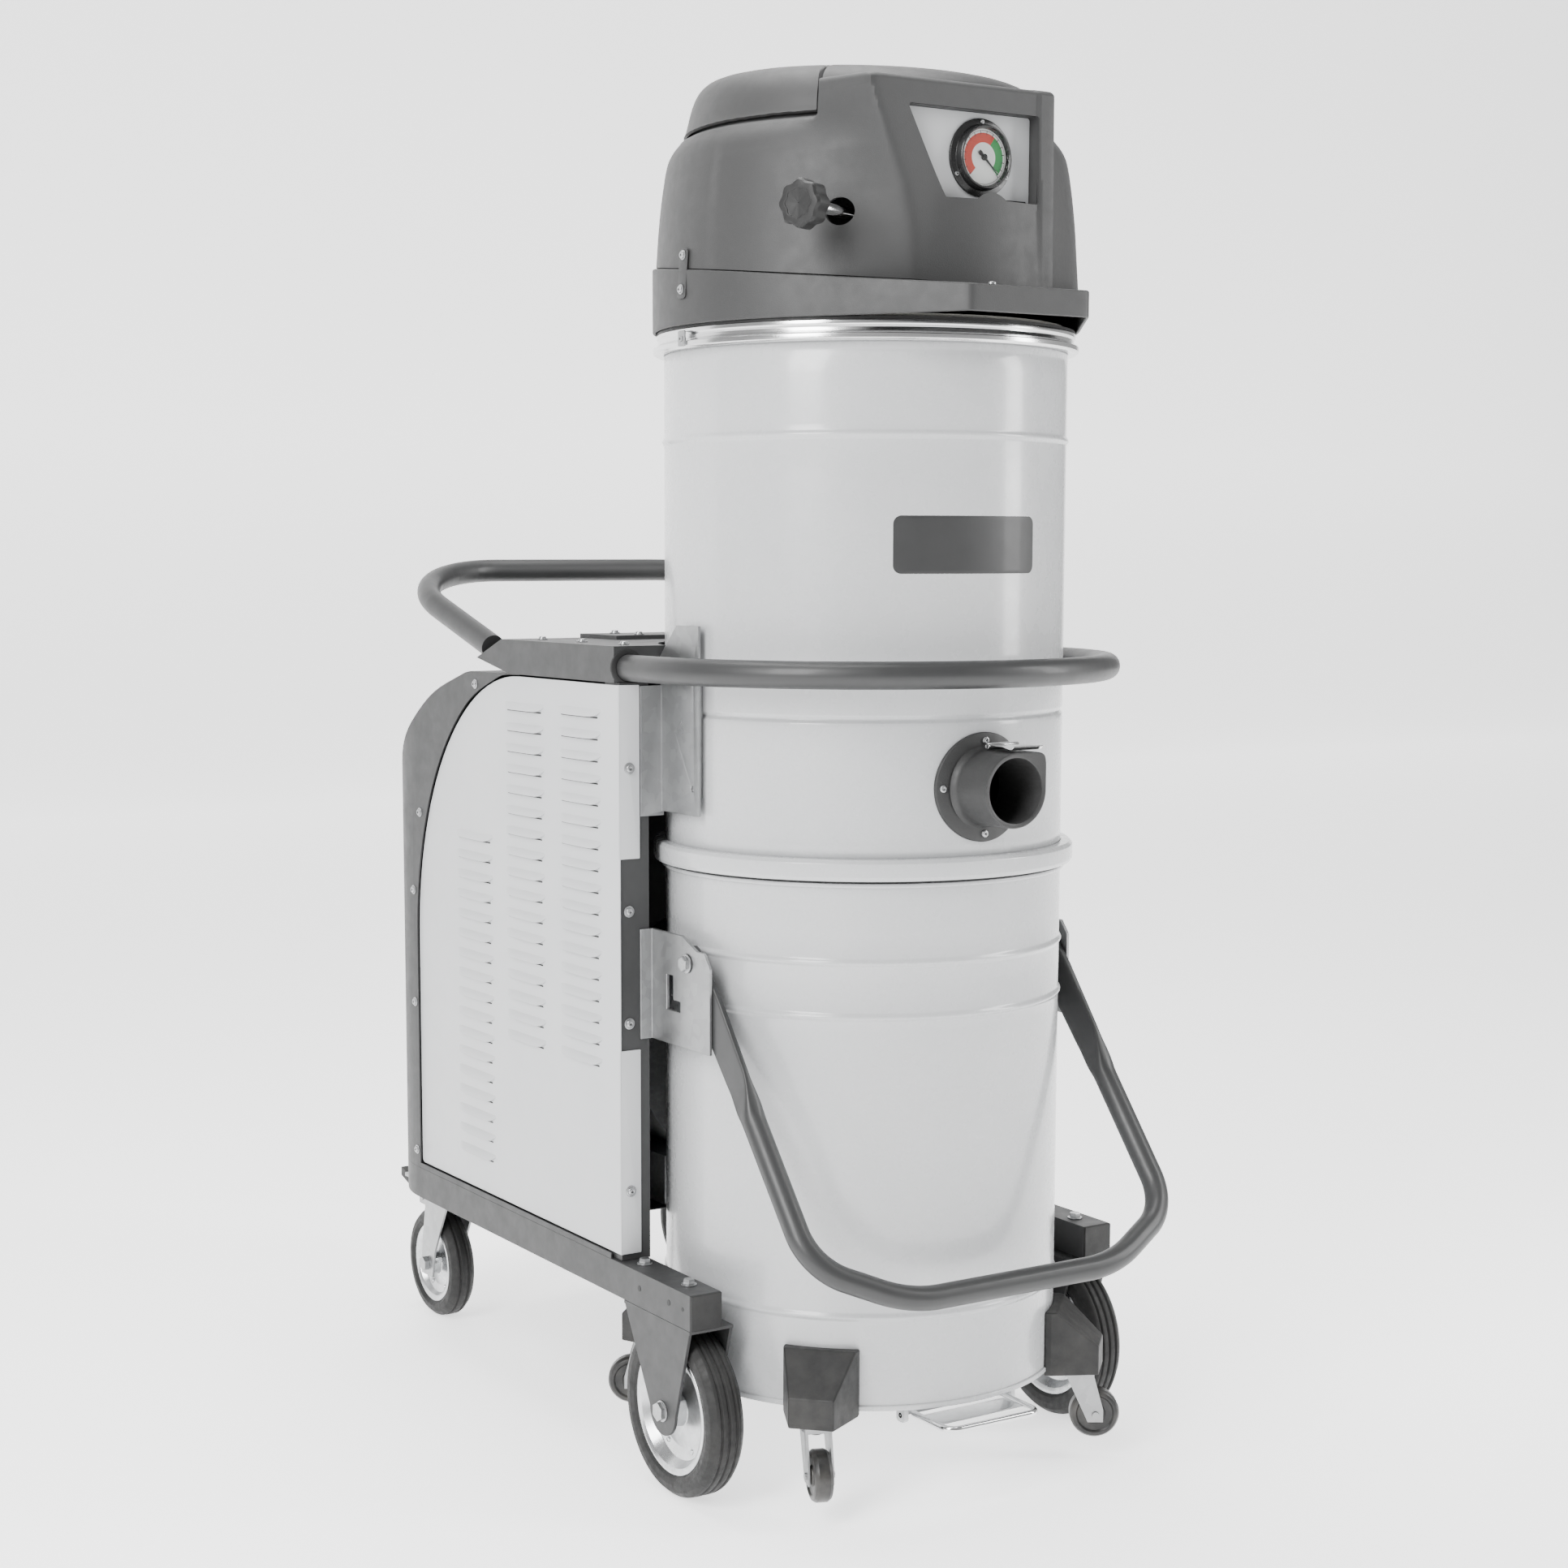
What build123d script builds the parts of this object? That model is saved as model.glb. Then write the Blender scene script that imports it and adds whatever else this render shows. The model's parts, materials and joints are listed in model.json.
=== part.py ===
from build123d import *
import os
from math import acos, atan2, cos, degrees, hypot, radians, sin, tan

os.makedirs("parts", exist_ok=True)

# Industrial vacuum cleaner: an upright filter chamber and a drop-down dust container at the front of a
# wheeled trolley, with the suction unit in a cabinet behind them. Millimetres, +Z up, front towards -Y.
# The origin is on the floor under the middle of the machine. "Out" means away from the drum axis.

# ---- driving dimensions: overall ----
drum_radius = 230.0
drum_side_gap = 27.5         # between the drum and each rail
lever_reach = 434.0          # pivot to the lever's cross bar
lever_angle = 39.2           # of the lever at rest, from straight down
lever_pivot_y = -25.0        # from the drum axis
lever_pivot_z = 603.0
rear_pedal_reach = 90.0      # behind the rear axle
chassis_front = 104.0        # rail ends in front of the drum axis
chassis_rear = 743.0         # behind the drum axis

# ---- sheet, tube and fit sizes ----
drum_sheet = 2.0
cabinet_sheet = 2.0
frame_wall = 3.0
rail_width = 40.0
rail_height = 41.0
hoop_tube_r = 15.0
lever_tube_r = 13.5
lever_pin_r = 8.0
bolt_head_r = 5.0
running_gap = 0.05           # radial, shafts in bores
slip = 0.4                   # between parts that pass each other
seat = 0.5                   # between a body and the part it parts from

# ---- drum stack heights above the floor ----
rim_z = 115.0
container_floor_z = 135.0
container_top_z = 703.0
container_beads_z = (219.0, 555.0, 615.0)
clamp_ring_z = 706.0
clamp_ring_height = 24.0
seal_thickness = 6.0
chamber_beads_z = (1184.0,)
chamber_groove_z = 880.0
flange_ring_z = 1281.0
flange_ring_height = 22.0
bead_half_height = 6.0
bead_depth = 2.6
filter_low_z = 990.0

# ---- wire pull under the container ----
bail_z = 100.0
bail_half_width = 62.0
bail_wire_r = 4.0
bail_eye = 16.0              # the eye rod past each leg

# ---- head ----
skirt_top_z = 1366.0         # over the drum axis
skirt_slope = 6.0            # degrees, the split falls towards the front
head_wall = 4.0
gasket_thickness = 3.0
lip_half_width = 78.0
lip_corner_r = 12.0
head_top_z = 1606.0
boss_top_z = 1548.0
boss_right = 88.0
panel_recess = 15.0
cap_edge_z = 1518.0
cap_front_y = -125.0
cap_lap = 10.0
gauge_z = 1476.0
gauge_depth = 14.0
gauge_dial_r = 30.0
shaker_turn = 229.8          # degrees round the drum, of the rod's place in the hood
shaker_dir = (-0.911, -0.413)
shaker_z = 1414.0
shaker_rod_r = 6.0
shaker_inside = 110.0        # rod length inside the hood
shaker_out = 80.0            # hood surface to knob centre
knob_r = 25.0
knob_length = 26.0
knob_lobes = 8

# ---- inlet ----
inlet_z = 805.0
inlet_bore_r = 35.0
inlet_wall = 6.0
inlet_flange_rim = 19.0
inlet_flange_thick = 6.0
inlet_stub = 60.0            # out from the drum wall

# ---- wheels ----
front_wheel_r = 100.0
front_wheel_width = 45.0
front_rim_r = 74.0
front_axle_y = -43.0
front_axle_r = 6.0
fork_plate = 4.0
wheel_side_gap = 2.0
wheel_top_gap = 7.0          # front tyre to rail
rear_wheel_r = 75.0
rear_wheel_width = 36.0
rear_rim_r = 54.0
rear_trail = 45.0
rear_axle_r = 6.0
caster_plate_thick = 5.0
caster_plate_half = 52.0
drum_wheel_r = 29.0
drum_wheel_width = 22.0
drum_wheel_lift = 26.0       # under the small wheels while the container is locked up
drum_caster_trail = 19.0
drum_axle_r = 4.0
block_width = 85.0
block_nose = 50.0
block_top_z = 184.0
block_bottom_z = 108.0

# ---- cabinet ----
panel_top_z = 911.0
panel_front_y = 54.0
panel_curve_start_z = 560.0
box_bottom_z = 913.5
box_top_z = 954.5
box_front_y = 60.0
box_tip_z = 930.0
corner_r = 140.0
hoop_z = 930.0
handle_corner_r = 190.0
handle_tilt = 16.8
handle_start_z = 943.0
duct_r = 40.0
duct_wall = 3.0
duct_top_z = 1400.0
duct_bend_r = 50.0
louvre_pitch = 25.2
louvre_height = 8.0
louvre_length = 102.0
louvre_rows_each = 17
motor_r = 105.0
motor_length = 230.0
blower_r = 160.0
blower_depth = 90.0
shaft_r = 12.0
motor_z = 450.0
switch_x = 95.0
switch_z = 480.0
gland_z = 320.0

# ---- worked-out places ----
half_width = drum_radius + drum_side_gap + rail_width
lever_sin = sin(radians(lever_angle))
lever_cos = cos(radians(lever_angle))
rear_axle_from_drum = chassis_rear - 14
front_reach = lever_reach * lever_sin - lever_pivot_y + lever_tube_r
rear_reach = rear_axle_from_drum + rear_pedal_reach
drum_y = (front_reach - rear_reach) / 2
inner_r = drum_radius - drum_sheet
clamp_ring_r = drum_radius + 14
flange_ring_r = drum_radius + 12.5
clamp_top = clamp_ring_z + clamp_ring_height
chamber_bottom = container_top_z + seat + seal_thickness
chamber_top = flange_ring_z + flange_ring_height
bail_hinge_y = 35 - drum_radius
bail_reach = drum_radius + 37
skirt_r = drum_radius + 13
lip_reach = drum_radius + 74
hood_base_r = drum_radius + 9
boss_front = drum_radius - 3
gauge_r = gauge_dial_r + 11
shaker_foot = [(drum_radius - 2.2) * turn(radians(shaker_turn)) for turn in (cos, sin)]
inlet_body_r = inlet_bore_r + inlet_wall
inlet_flange_r = inlet_body_r + inlet_flange_rim
inlet_reach = drum_radius + inlet_stub
fork_width = front_wheel_width + 2 * (fork_plate + wheel_side_gap)
rail_top = 2 * front_wheel_r + wheel_top_gap + rail_height
rail_bottom = rail_top - rail_height
rear_wheel_x = half_width - rail_width - caster_plate_half - seat
drum_caster_r = drum_radius + 32
block_reach = drum_radius + 58
lever_x = drum_radius + lever_tube_r + 1.5
post_y = panel_front_y + cabinet_sheet
panel_x = half_width - 2.5
panel_bottom_z = rail_top + 8
panel_rear_y = chassis_rear - corner_r - 11
tray_front = drum_radius + 16
box_rear_y = drum_radius + 178
handle_half_width = half_width - hoop_tube_r - 2.5
handle_slope = tan(radians(handle_tilt))
handle_start_y = box_rear_y - 10
handle_rear_y = chassis_rear - 43
hoop_leg = drum_radius + 50
duct_y = drum_radius + 70
blower_front = duct_y - blower_depth / 2

made = {}


def save(name, *solids):
    """Writes one node: each argument is one separate solid or a list of them."""
    flat = []
    for item in solids:
        flat.extend(item if isinstance(item, (list, tuple)) else [item])
    parts = [s for item in flat for s in item.solids()]
    made[name] = parts
    shape = Compound(children=parts) if len(parts) > 1 else parts[0]
    export_step(shape, f"parts/{name}.step")


def at(x, y, z):
    """A place given from the drum axis, in the row's frame."""
    return Vector(x, y + drum_y, z)


def block(low, high):
    """Box between two corners given from the drum axis."""
    size = [b - a for a, b in zip(low, high)]
    middle = [(a + b) / 2 for a, b in zip(low, high)]
    return Pos(*at(*middle)) * Box(*size)


def rod(start, direction, radius, length):
    """Cylinder from a point given from the drum axis, along a direction."""
    plane = Plane(at(*start), z_dir=direction)
    return extrude(plane * Circle(radius), length)


def ring(start, direction, outer, inner, length):
    """Hollow cylinder with the bore run through both ends."""
    return rod(start, direction, outer, length) - rod(start, direction, inner, length)


def hexagon(start, direction, across, length):
    plane = Plane(at(*start), z_dir=direction)
    return extrude(plane * RegularPolygon(across / 2, 6, major_radius=False), length)


def spun(points):
    """Solid of revolution about the drum axis from (radius, height) corners."""
    face = make_face(Plane.XZ * Polyline(*points, close=True))
    return Pos(0, drum_y, 0) * revolve(face, Axis.Z, 360)


def plate(plane, points, thickness):
    """Flat plate from an outline in a plane, along its normal, or against it if negative."""
    face = make_face(plane * Polyline(*points, close=True))
    along = plane.z_dir if thickness > 0 else plane.z_dir * -1
    return extrude(face, abs(thickness), dir=along)


def side_plane(x):
    """Plane facing +X: its own axes are (distance from the drum axis along Y, height)."""
    return Plane(at(x, 0, 0), x_dir=(0, 1, 0), z_dir=(1, 0, 0))


def bent_tube(points, bends, radius):
    """Round bar along straight runs joined by tangent arcs, points given from the drum axis."""
    path = FilletPolyline(*[at(*p) for p in points], radius=bends)
    start = Plane(path @ 0, z_dir=path % 0)
    return sweep(start * Circle(radius), path)


def mirrored(shape):
    """The same shape on both sides of the machine."""
    return [shape, mirror(shape, Plane.YZ)]


# ---------------------------------------------------------------- drum stack

def drum_wall(low, high, beads, grooves=()):
    """Thin rolled wall with raised beads and pressed grooves, as one closed profile."""
    marks = sorted([(z, bead_depth) for z in beads] + [(z, -bead_depth) for z in grooves])
    outer = [(drum_radius, low)]
    inner = [(inner_r, low)]
    for z, depth in marks:
        shape = ((-bead_half_height, 0), (-bead_half_height / 2, depth),
                 (bead_half_height / 2, depth), (bead_half_height, 0))
        outer += [(drum_radius + d, z + dz) for dz, d in shape]
        inner += [(inner_r + d, z + dz) for dz, d in shape]
    outer.append((drum_radius, high))
    inner.append((inner_r, high))
    return spun(outer + inner[::-1])


def build_container():
    wall = drum_wall(rim_z, container_top_z, container_beads_z)
    floor_r = inner_r + 0.5
    floor = spun([(0, container_floor_z), (floor_r, container_floor_z),
                  (floor_r, container_floor_z + drum_sheet), (0, container_floor_z + drum_sheet)])
    rim = spun([(inner_r, container_top_z - 4), (drum_radius + 4, container_top_z - 4),
                (drum_radius + 4, container_top_z), (inner_r, container_top_z)])
    save("container", wall + floor + rim, bail_lugs())


def build_chamber():
    wall = drum_wall(chamber_bottom, chamber_top, chamber_beads_z, (chamber_groove_z,))
    hole = rod((0, -drum_radius + 40, inlet_z), (0, -1, 0), inlet_bore_r, 80)
    save("filter_chamber", wall - hole)
    low = flange_ring_z
    save("flange_ring", spun([
        (drum_radius, low), (flange_ring_r, low), (flange_ring_r, low + 6),
        (drum_radius + 6, low + 13), (drum_radius + 6, low + flange_ring_height),
        (drum_radius, low + flange_ring_height)]))
    save("clamp_ring", spun([
        (clamp_ring_r - 4, clamp_ring_z), (clamp_ring_r, clamp_ring_z), (clamp_ring_r, clamp_top),
        (drum_radius, clamp_top), (drum_radius, clamp_top - 4),
        (clamp_ring_r - 4, clamp_top - 4)]))
    gasket_top = chamber_top + gasket_thickness
    gasket = spun([(inner_r - 18, chamber_top), (drum_radius + 8, chamber_top),
                   (drum_radius + 8, gasket_top), (inner_r - 18, gasket_top)])
    seal = spun([(inner_r - 8, container_top_z + seat), (drum_radius + 3, container_top_z + seat),
                 (drum_radius + 3, chamber_bottom), (inner_r - 8, chamber_bottom)])
    save("seals", gasket, seal)


def build_inlet():
    back = -drum_radius
    flange = rod((0, back + 14, inlet_z), (0, -1, 0), inlet_flange_r, 14 + inlet_flange_thick)
    barrel = rod((0, back + 14, inlet_z), (0, -1, 0), inlet_body_r, inlet_reach - drum_radius + 14)
    corner = block((0, -inlet_reach, inlet_z), (inlet_body_r, back + 14, inlet_z + inlet_body_r))
    bore = rod((0, back + 60, inlet_z), (0, -1, 0), inlet_bore_r, inlet_reach)
    drum = rod((0, 0, inlet_z - 100), (0, 0, 1), drum_radius, 200)
    screws = []
    pitch_r = inlet_flange_r - 9
    for angle in (90, 180, 270):
        x = pitch_r * cos(radians(angle))
        z = inlet_z + pitch_r * sin(radians(angle))
        screws.append(rod((x, back - inlet_flange_thick, z), (0, -1, 0), 4.0, 3))
    save("inlet_fitting", flange + barrel + corner - bore - drum, screws)
    latch_z = inlet_z + inlet_body_r + slip
    hinge_y = back - inlet_flange_thick - 9
    clip = block((-6, -inlet_reach + 8, latch_z + 3), (inlet_body_r - 6, hinge_y, latch_z + 5))
    eye = rod((-6, hinge_y, latch_z + 4), (1, 0, 0), 4.0, inlet_body_r)
    save("inlet_latch", clip + eye)


# ---------------------------------------------------------------- head

def lip_outline(offset):
    """Plan of the skirt: a circle run out by tangents to the square front lip."""
    radius = skirt_r - offset
    half = lip_half_width - offset
    front = lip_reach - offset
    reach = hypot(half, front)
    turn = degrees(acos(radius / reach))
    point = degrees(atan2(-front, half))
    tangent = radians(point + turn)
    x = radius * cos(tangent)
    y = radius * sin(tangent)
    beak = make_face(Polyline((-half, -front), (half, -front), (x, y), (0, 0), (-x, y), close=True))
    corners = beak.vertices().sort_by(Axis.Y)[:2]
    return Circle(radius) + fillet(corners, lip_corner_r)


def split_cutter(above):
    """Everything above, or below, the sloping plane that parts the skirt from the hood."""
    size = 1200.0
    plane = Plane(at(0, 0, skirt_top_z), x_dir=(1, 0, 0),
                  z_dir=(0, -sin(radians(skirt_slope)), cos(radians(skirt_slope))))
    middle = size / 2 if above else -size / 2
    return plane * Pos(0, 0, middle) * Box(size, size, size)


def dome(offset):
    """Hood and cap together before they are cut apart, as a solid of revolution."""
    rise = head_top_z - offset
    base = hood_base_r - offset
    curve = Spline((base, 1300), (base - 1.5, 1385), (base - 8.5, 1455), (base - 16, 1508), (base - 36, 1545),
                   (base - 74, 1576), (base - 149 + offset, rise - 6), (0, rise), tangents=((0, 1), (-1, 0)))
    back = Polyline((0, rise), (0, 1300), (base, 1300))
    face = make_face(Plane.XZ * (curve + back))
    return Pos(0, drum_y, 0) * revolve(face, Axis.Z, 360)


def boss(offset):
    """Flat front of the hood that carries the instrument panel."""
    outline = ((-96 + offset, 1300), (-112 + offset, 1440), (-150 + offset, boss_top_z - offset),
               (boss_right - offset, boss_top_z - offset), (boss_right - offset, 1300))
    plane = Plane(at(0, -boss_front + offset, 0), x_dir=(1, 0, 0), z_dir=(0, -1, 0))
    return plate(plane, outline, -(boss_front - offset - 60))


def cap_region(grow):
    """Upper rear part of the head that belongs to the exhaust cap."""
    return block((-400, cap_front_y - grow, cap_edge_z - grow), (400, 400, head_top_z + 50))


def duct_hole():
    """Where the suction duct goes into the back of the head."""
    return rod((0, drum_radius - 80, duct_top_z), (0, 1, 0), duct_r, 150)


def build_head():
    base = chamber_top + gasket_thickness
    outer = extrude(Pos(0, drum_y, base) * lip_outline(0), 160)
    inner = extrude(Pos(0, drum_y, base - 1) * lip_outline(head_wall), 170)
    flange = spun([(drum_radius + 2, base), (skirt_r - 1, base),
                   (skirt_r - 1, base + 3), (drum_radius + 2, base + 3)])
    save("head_skirt", outer - inner + flange - split_cutter(True) - duct_hole())
    shell = (dome(0) + boss(0)) - (dome(head_wall) + boss(head_wall))
    hood = shell - split_cutter(False) - cap_region(0)
    panel_y = -boss_front + panel_recess
    outline = ((-57, gauge_z - 46), (67, gauge_z - 46), (67, gauge_z + 47), (-105, gauge_z + 47))
    face = Plane(at(0, panel_y, 0), x_dir=(1, 0, 0), z_dir=(0, -1, 0))
    window = plate(face.offset(-1), outline, 60)
    wider = [(x * 1.04, gauge_z + (z - gauge_z) * 1.08) for x, z in outline]
    tub = plate(face, wider, panel_recess - 1)
    sheet = plate(face, wider, -3)
    case_hole = rod((0, panel_y + 40, gauge_z), (0, -1, 0), gauge_dial_r + 4, 80)
    foot = (shaker_foot[0], shaker_foot[1], shaker_z)
    inward = (-shaker_dir[0], -shaker_dir[1], 0)
    start = [foot[i] + shaker_dir[i] * 40 for i in range(2)] + [shaker_z]
    rod_hole = rod(start, inward, 15.0, 90)
    hood = hood + tub - window - rod_hole - duct_hole()
    save("head_hood", hood)
    save("instrument_panel", sheet - case_hole)
    cap = (dome(head_wall) - dome(2 * head_wall)) & cap_region(cap_lap)
    save("head_cap", cap)
    build_gauge(panel_y)
    build_shaker(foot)


def build_gauge(panel_y):
    """Case behind the panel with its flange in front, a dial disc and a clear lens."""
    y = panel_y
    flange = ring((0, y, gauge_z), (0, -1, 0), gauge_r, gauge_dial_r + 2, gauge_depth)
    case = ring((0, panel_y + 30, gauge_z), (0, -1, 0), gauge_dial_r + 3, gauge_dial_r + 1, 30)
    back = rod((0, panel_y + 32, gauge_z), (0, -1, 0), gauge_dial_r + 3, 2)
    dial = ring((0, y, gauge_z), (0, -1, 0), gauge_dial_r + 2, 1.5, 1.5)
    lens = rod((0, y - gauge_depth + 3, gauge_z), (0, -1, 0), gauge_dial_r + 2, 1.5)
    save("gauge_case", flange + case + back, dial, lens)
    hub = rod((0, y - 2.5, gauge_z), (0, -1, 0), 4.0, 4)
    stem = rod((0, y + 10, gauge_z), (0, -1, 0), 1.2, 13)
    arm_face = Plane(at(0, y - 4, gauge_z), x_dir=(0.76, 0, -0.65), z_dir=(0, -1, 0))
    arm = plate(arm_face, ((-9, -2.2), (gauge_dial_r - 5, -0.5), (gauge_dial_r - 5, 0.5), (-9, 2.2)), 1)
    save("gauge_needle", hub + stem + arm)


def build_shaker(foot):
    """Filter shaker: a rod through the hood, a lobed knob outside and a yoke over the filter inside."""
    out = (shaker_dir[0], shaker_dir[1], 0)
    begin = (foot[0] - out[0] * shaker_inside, foot[1] - out[1] * shaker_inside, shaker_z)
    end = [foot[i] + out[i] * shaker_out for i in range(2)] + [shaker_z]
    length = shaker_inside + shaker_out - knob_length / 2 - slip
    shaft = rod(begin, out, shaker_rod_r, length)
    collar = ring(begin, out, 11, shaker_rod_r - 1, 14)
    save("shaker_rod", shaft + collar)
    face = Plane(at(*end), z_dir=out).offset(-knob_length / 2)
    lobes = Circle(knob_r - 3)
    for i in range(knob_lobes):
        lobes += PolarLocations(knob_r - 6, 1, start_angle=i * 360 / knob_lobes) * Circle(6)
    neck = extrude(face.offset(-12) * Circle(10), 12)
    bore = extrude(face.offset(-13) * Circle(shaker_rod_r), 13)
    save("shaker_knob", extrude(face * lobes, knob_length) + neck - bore)


def build_filter():
    """Pleated filter under the head on its frame ring, with a ring to hold the cage rods."""
    top = chamber_top + gasket_thickness + slip
    outer = inner_r - 22
    pleats = 18
    low = filter_low_z
    faces = []
    for inward in (0, 8):
        points = []
        for i in range(pleats):
            for turn, r in ((0.0, outer - 1.6 * inward), (0.5, outer - 46 - inward)):
                angle = radians((i + turn) * 360 / pleats)
                points.append((r * cos(angle), r * sin(angle)))
        faces.append(make_face(Polyline(*points, close=True)))
    star = extrude(Pos(0, drum_y, low) * faces[0], top - low)
    star -= extrude(Pos(0, drum_y, low + 3) * faces[1], top - low)
    plate_ring = ring((0, 0, top), (0, 0, 1), inner_r - 2, outer - 60, 4)
    cage = ring((0, 0, low + 3), (0, 0, 1), outer - 56, outer - 60, top - low - 3)
    save("star_filter", star, plate_ring, cage)


# ---------------------------------------------------------------- trolley

def trolley_plan(inset):
    """Plan of the trolley: straight sides, rounded rear corners, open line at the front."""
    side = half_width - inset
    rear = chassis_rear - inset
    front = -chassis_front
    face = make_face(Polyline((-side, front), (side, front), (side, rear), (-side, rear), close=True))
    corners = face.vertices().sort_by(Axis.Y)[-2:]
    return Pos(0, drum_y, 0) * fillet(corners, corner_r - inset)


def u_rail(inset, low, high):
    """The U of the two rails and the rear cross member between two heights."""
    outer = trolley_plan(inset)
    inner = trolley_plan(rail_width - inset)
    return extrude(Pos(0, 0, low) * (outer - inner), high - low)


def build_chassis():
    outer = u_rail(0, rail_bottom, rail_top)
    hollow = u_rail(frame_wall, rail_bottom + frame_wall, rail_top - frame_wall)
    tray = extrude(Pos(0, 0, rail_top - 2) * trolley_plan(rail_width - 1), 2)
    tray = tray - block((-half_width, -half_width, 0), (half_width, tray_front, rail_top + 1))
    gusset = block((rear_wheel_x - 62, rear_axle_from_drum - rear_trail - 62, rail_bottom),
                   (half_width - rail_width + 1, chassis_rear - rail_width + 1, rail_bottom + 3))
    frame = outer - hollow + tray
    for piece in mirrored(gusset):
        frame += piece
    save("chassis_frame", frame)
    gap = 0.2
    x = half_width - rail_width
    cap = block((x, -chassis_front - 3, rail_bottom), (half_width, -chassis_front, rail_top))
    plug = block((x + frame_wall + gap, -chassis_front - 1, rail_bottom + frame_wall + gap),
                 (half_width - frame_wall - gap, -chassis_front + 14, rail_top - frame_wall - gap))
    save("rail_end_caps", mirrored(cap + plug))


def fork_outline():
    """Side view of a front fork cheek: a wide top that narrows to a round end about the axle."""
    top = rail_bottom
    edge = 28.0
    body = make_face(Polyline((-chassis_front + 1, top), (44, top), (front_axle_y + edge, front_wheel_r),
                              (front_axle_y - edge, front_wheel_r), close=True))
    return body + Pos(front_axle_y, front_wheel_r) * Circle(edge)


def build_front_wheels():
    middle = half_width - fork_width / 2
    inside = half_width - fork_width
    outline = fork_outline()
    cheeks = []
    for x in (inside, half_width - fork_plate):
        cheeks.append(extrude(side_plane(x) * outline, fork_plate))
    roof = block((inside, -chassis_front + 1, rail_bottom - fork_plate), (half_width, 44, rail_bottom))
    hole = rod((inside - 1, front_axle_y, front_wheel_r), (1, 0, 0), front_axle_r + slip, fork_width + 2)
    fork = (cheeks[0] + cheeks[1] + roof) - hole
    save("front_wheel_forks", mirrored(fork))
    shaft = rod((inside - 10, front_axle_y, front_wheel_r), (1, 0, 0), front_axle_r, fork_width + 10)
    head = hexagon((half_width, front_axle_y, front_wheel_r), (1, 0, 0), 19, 7)
    nut = hexagon((inside - 8, front_axle_y, front_wheel_r), (1, 0, 0), 19, 8)
    save("front_axles", mirrored(shaft + head + nut))
    for side, sign in (("left", -1), ("right", 1)):
        centre = (sign * middle, front_axle_y, front_wheel_r)
        tyre, rim = wheel(centre, front_wheel_r, front_wheel_width, front_rim_r, front_axle_r)
        save(f"{side}_front_tyre", tyre)
        save(f"{side}_front_rim", rim)


def wheel(centre, radius, width, rim_r, axle_r):
    """Tyre with a rounded tread, and a dished rim with its hub, spun about the axle."""
    half = width / 2
    shoulder = 9.0
    side = half - 2
    tyre_face = make_face(Polyline((rim_r, -side), (radius - shoulder, -half), (radius, -half + shoulder),
                                   (radius, half - shoulder), (radius - shoulder, half),
                                   (rim_r, side), close=True))
    hub = 19.0
    bore = axle_r + running_gap
    hub_half = half + 1.5
    rim_face = make_face(Polyline((bore, -hub_half), (hub, -hub_half), (hub, -5), (rim_r - 14, -5),
                                  (rim_r - 4, -side + 3), (rim_r, -side + 3), (rim_r, side - 3),
                                  (rim_r - 4, side - 3), (rim_r - 14, 5), (hub, 5),
                                  (hub, hub_half), (bore, hub_half), close=True))
    turned = []
    for face in (tyre_face, rim_face):
        solid = revolve(face, Axis.Y, 360)
        turned.append(Pos(*at(*centre)) * Rot(0, 0, 90) * solid)
    return turned


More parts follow.
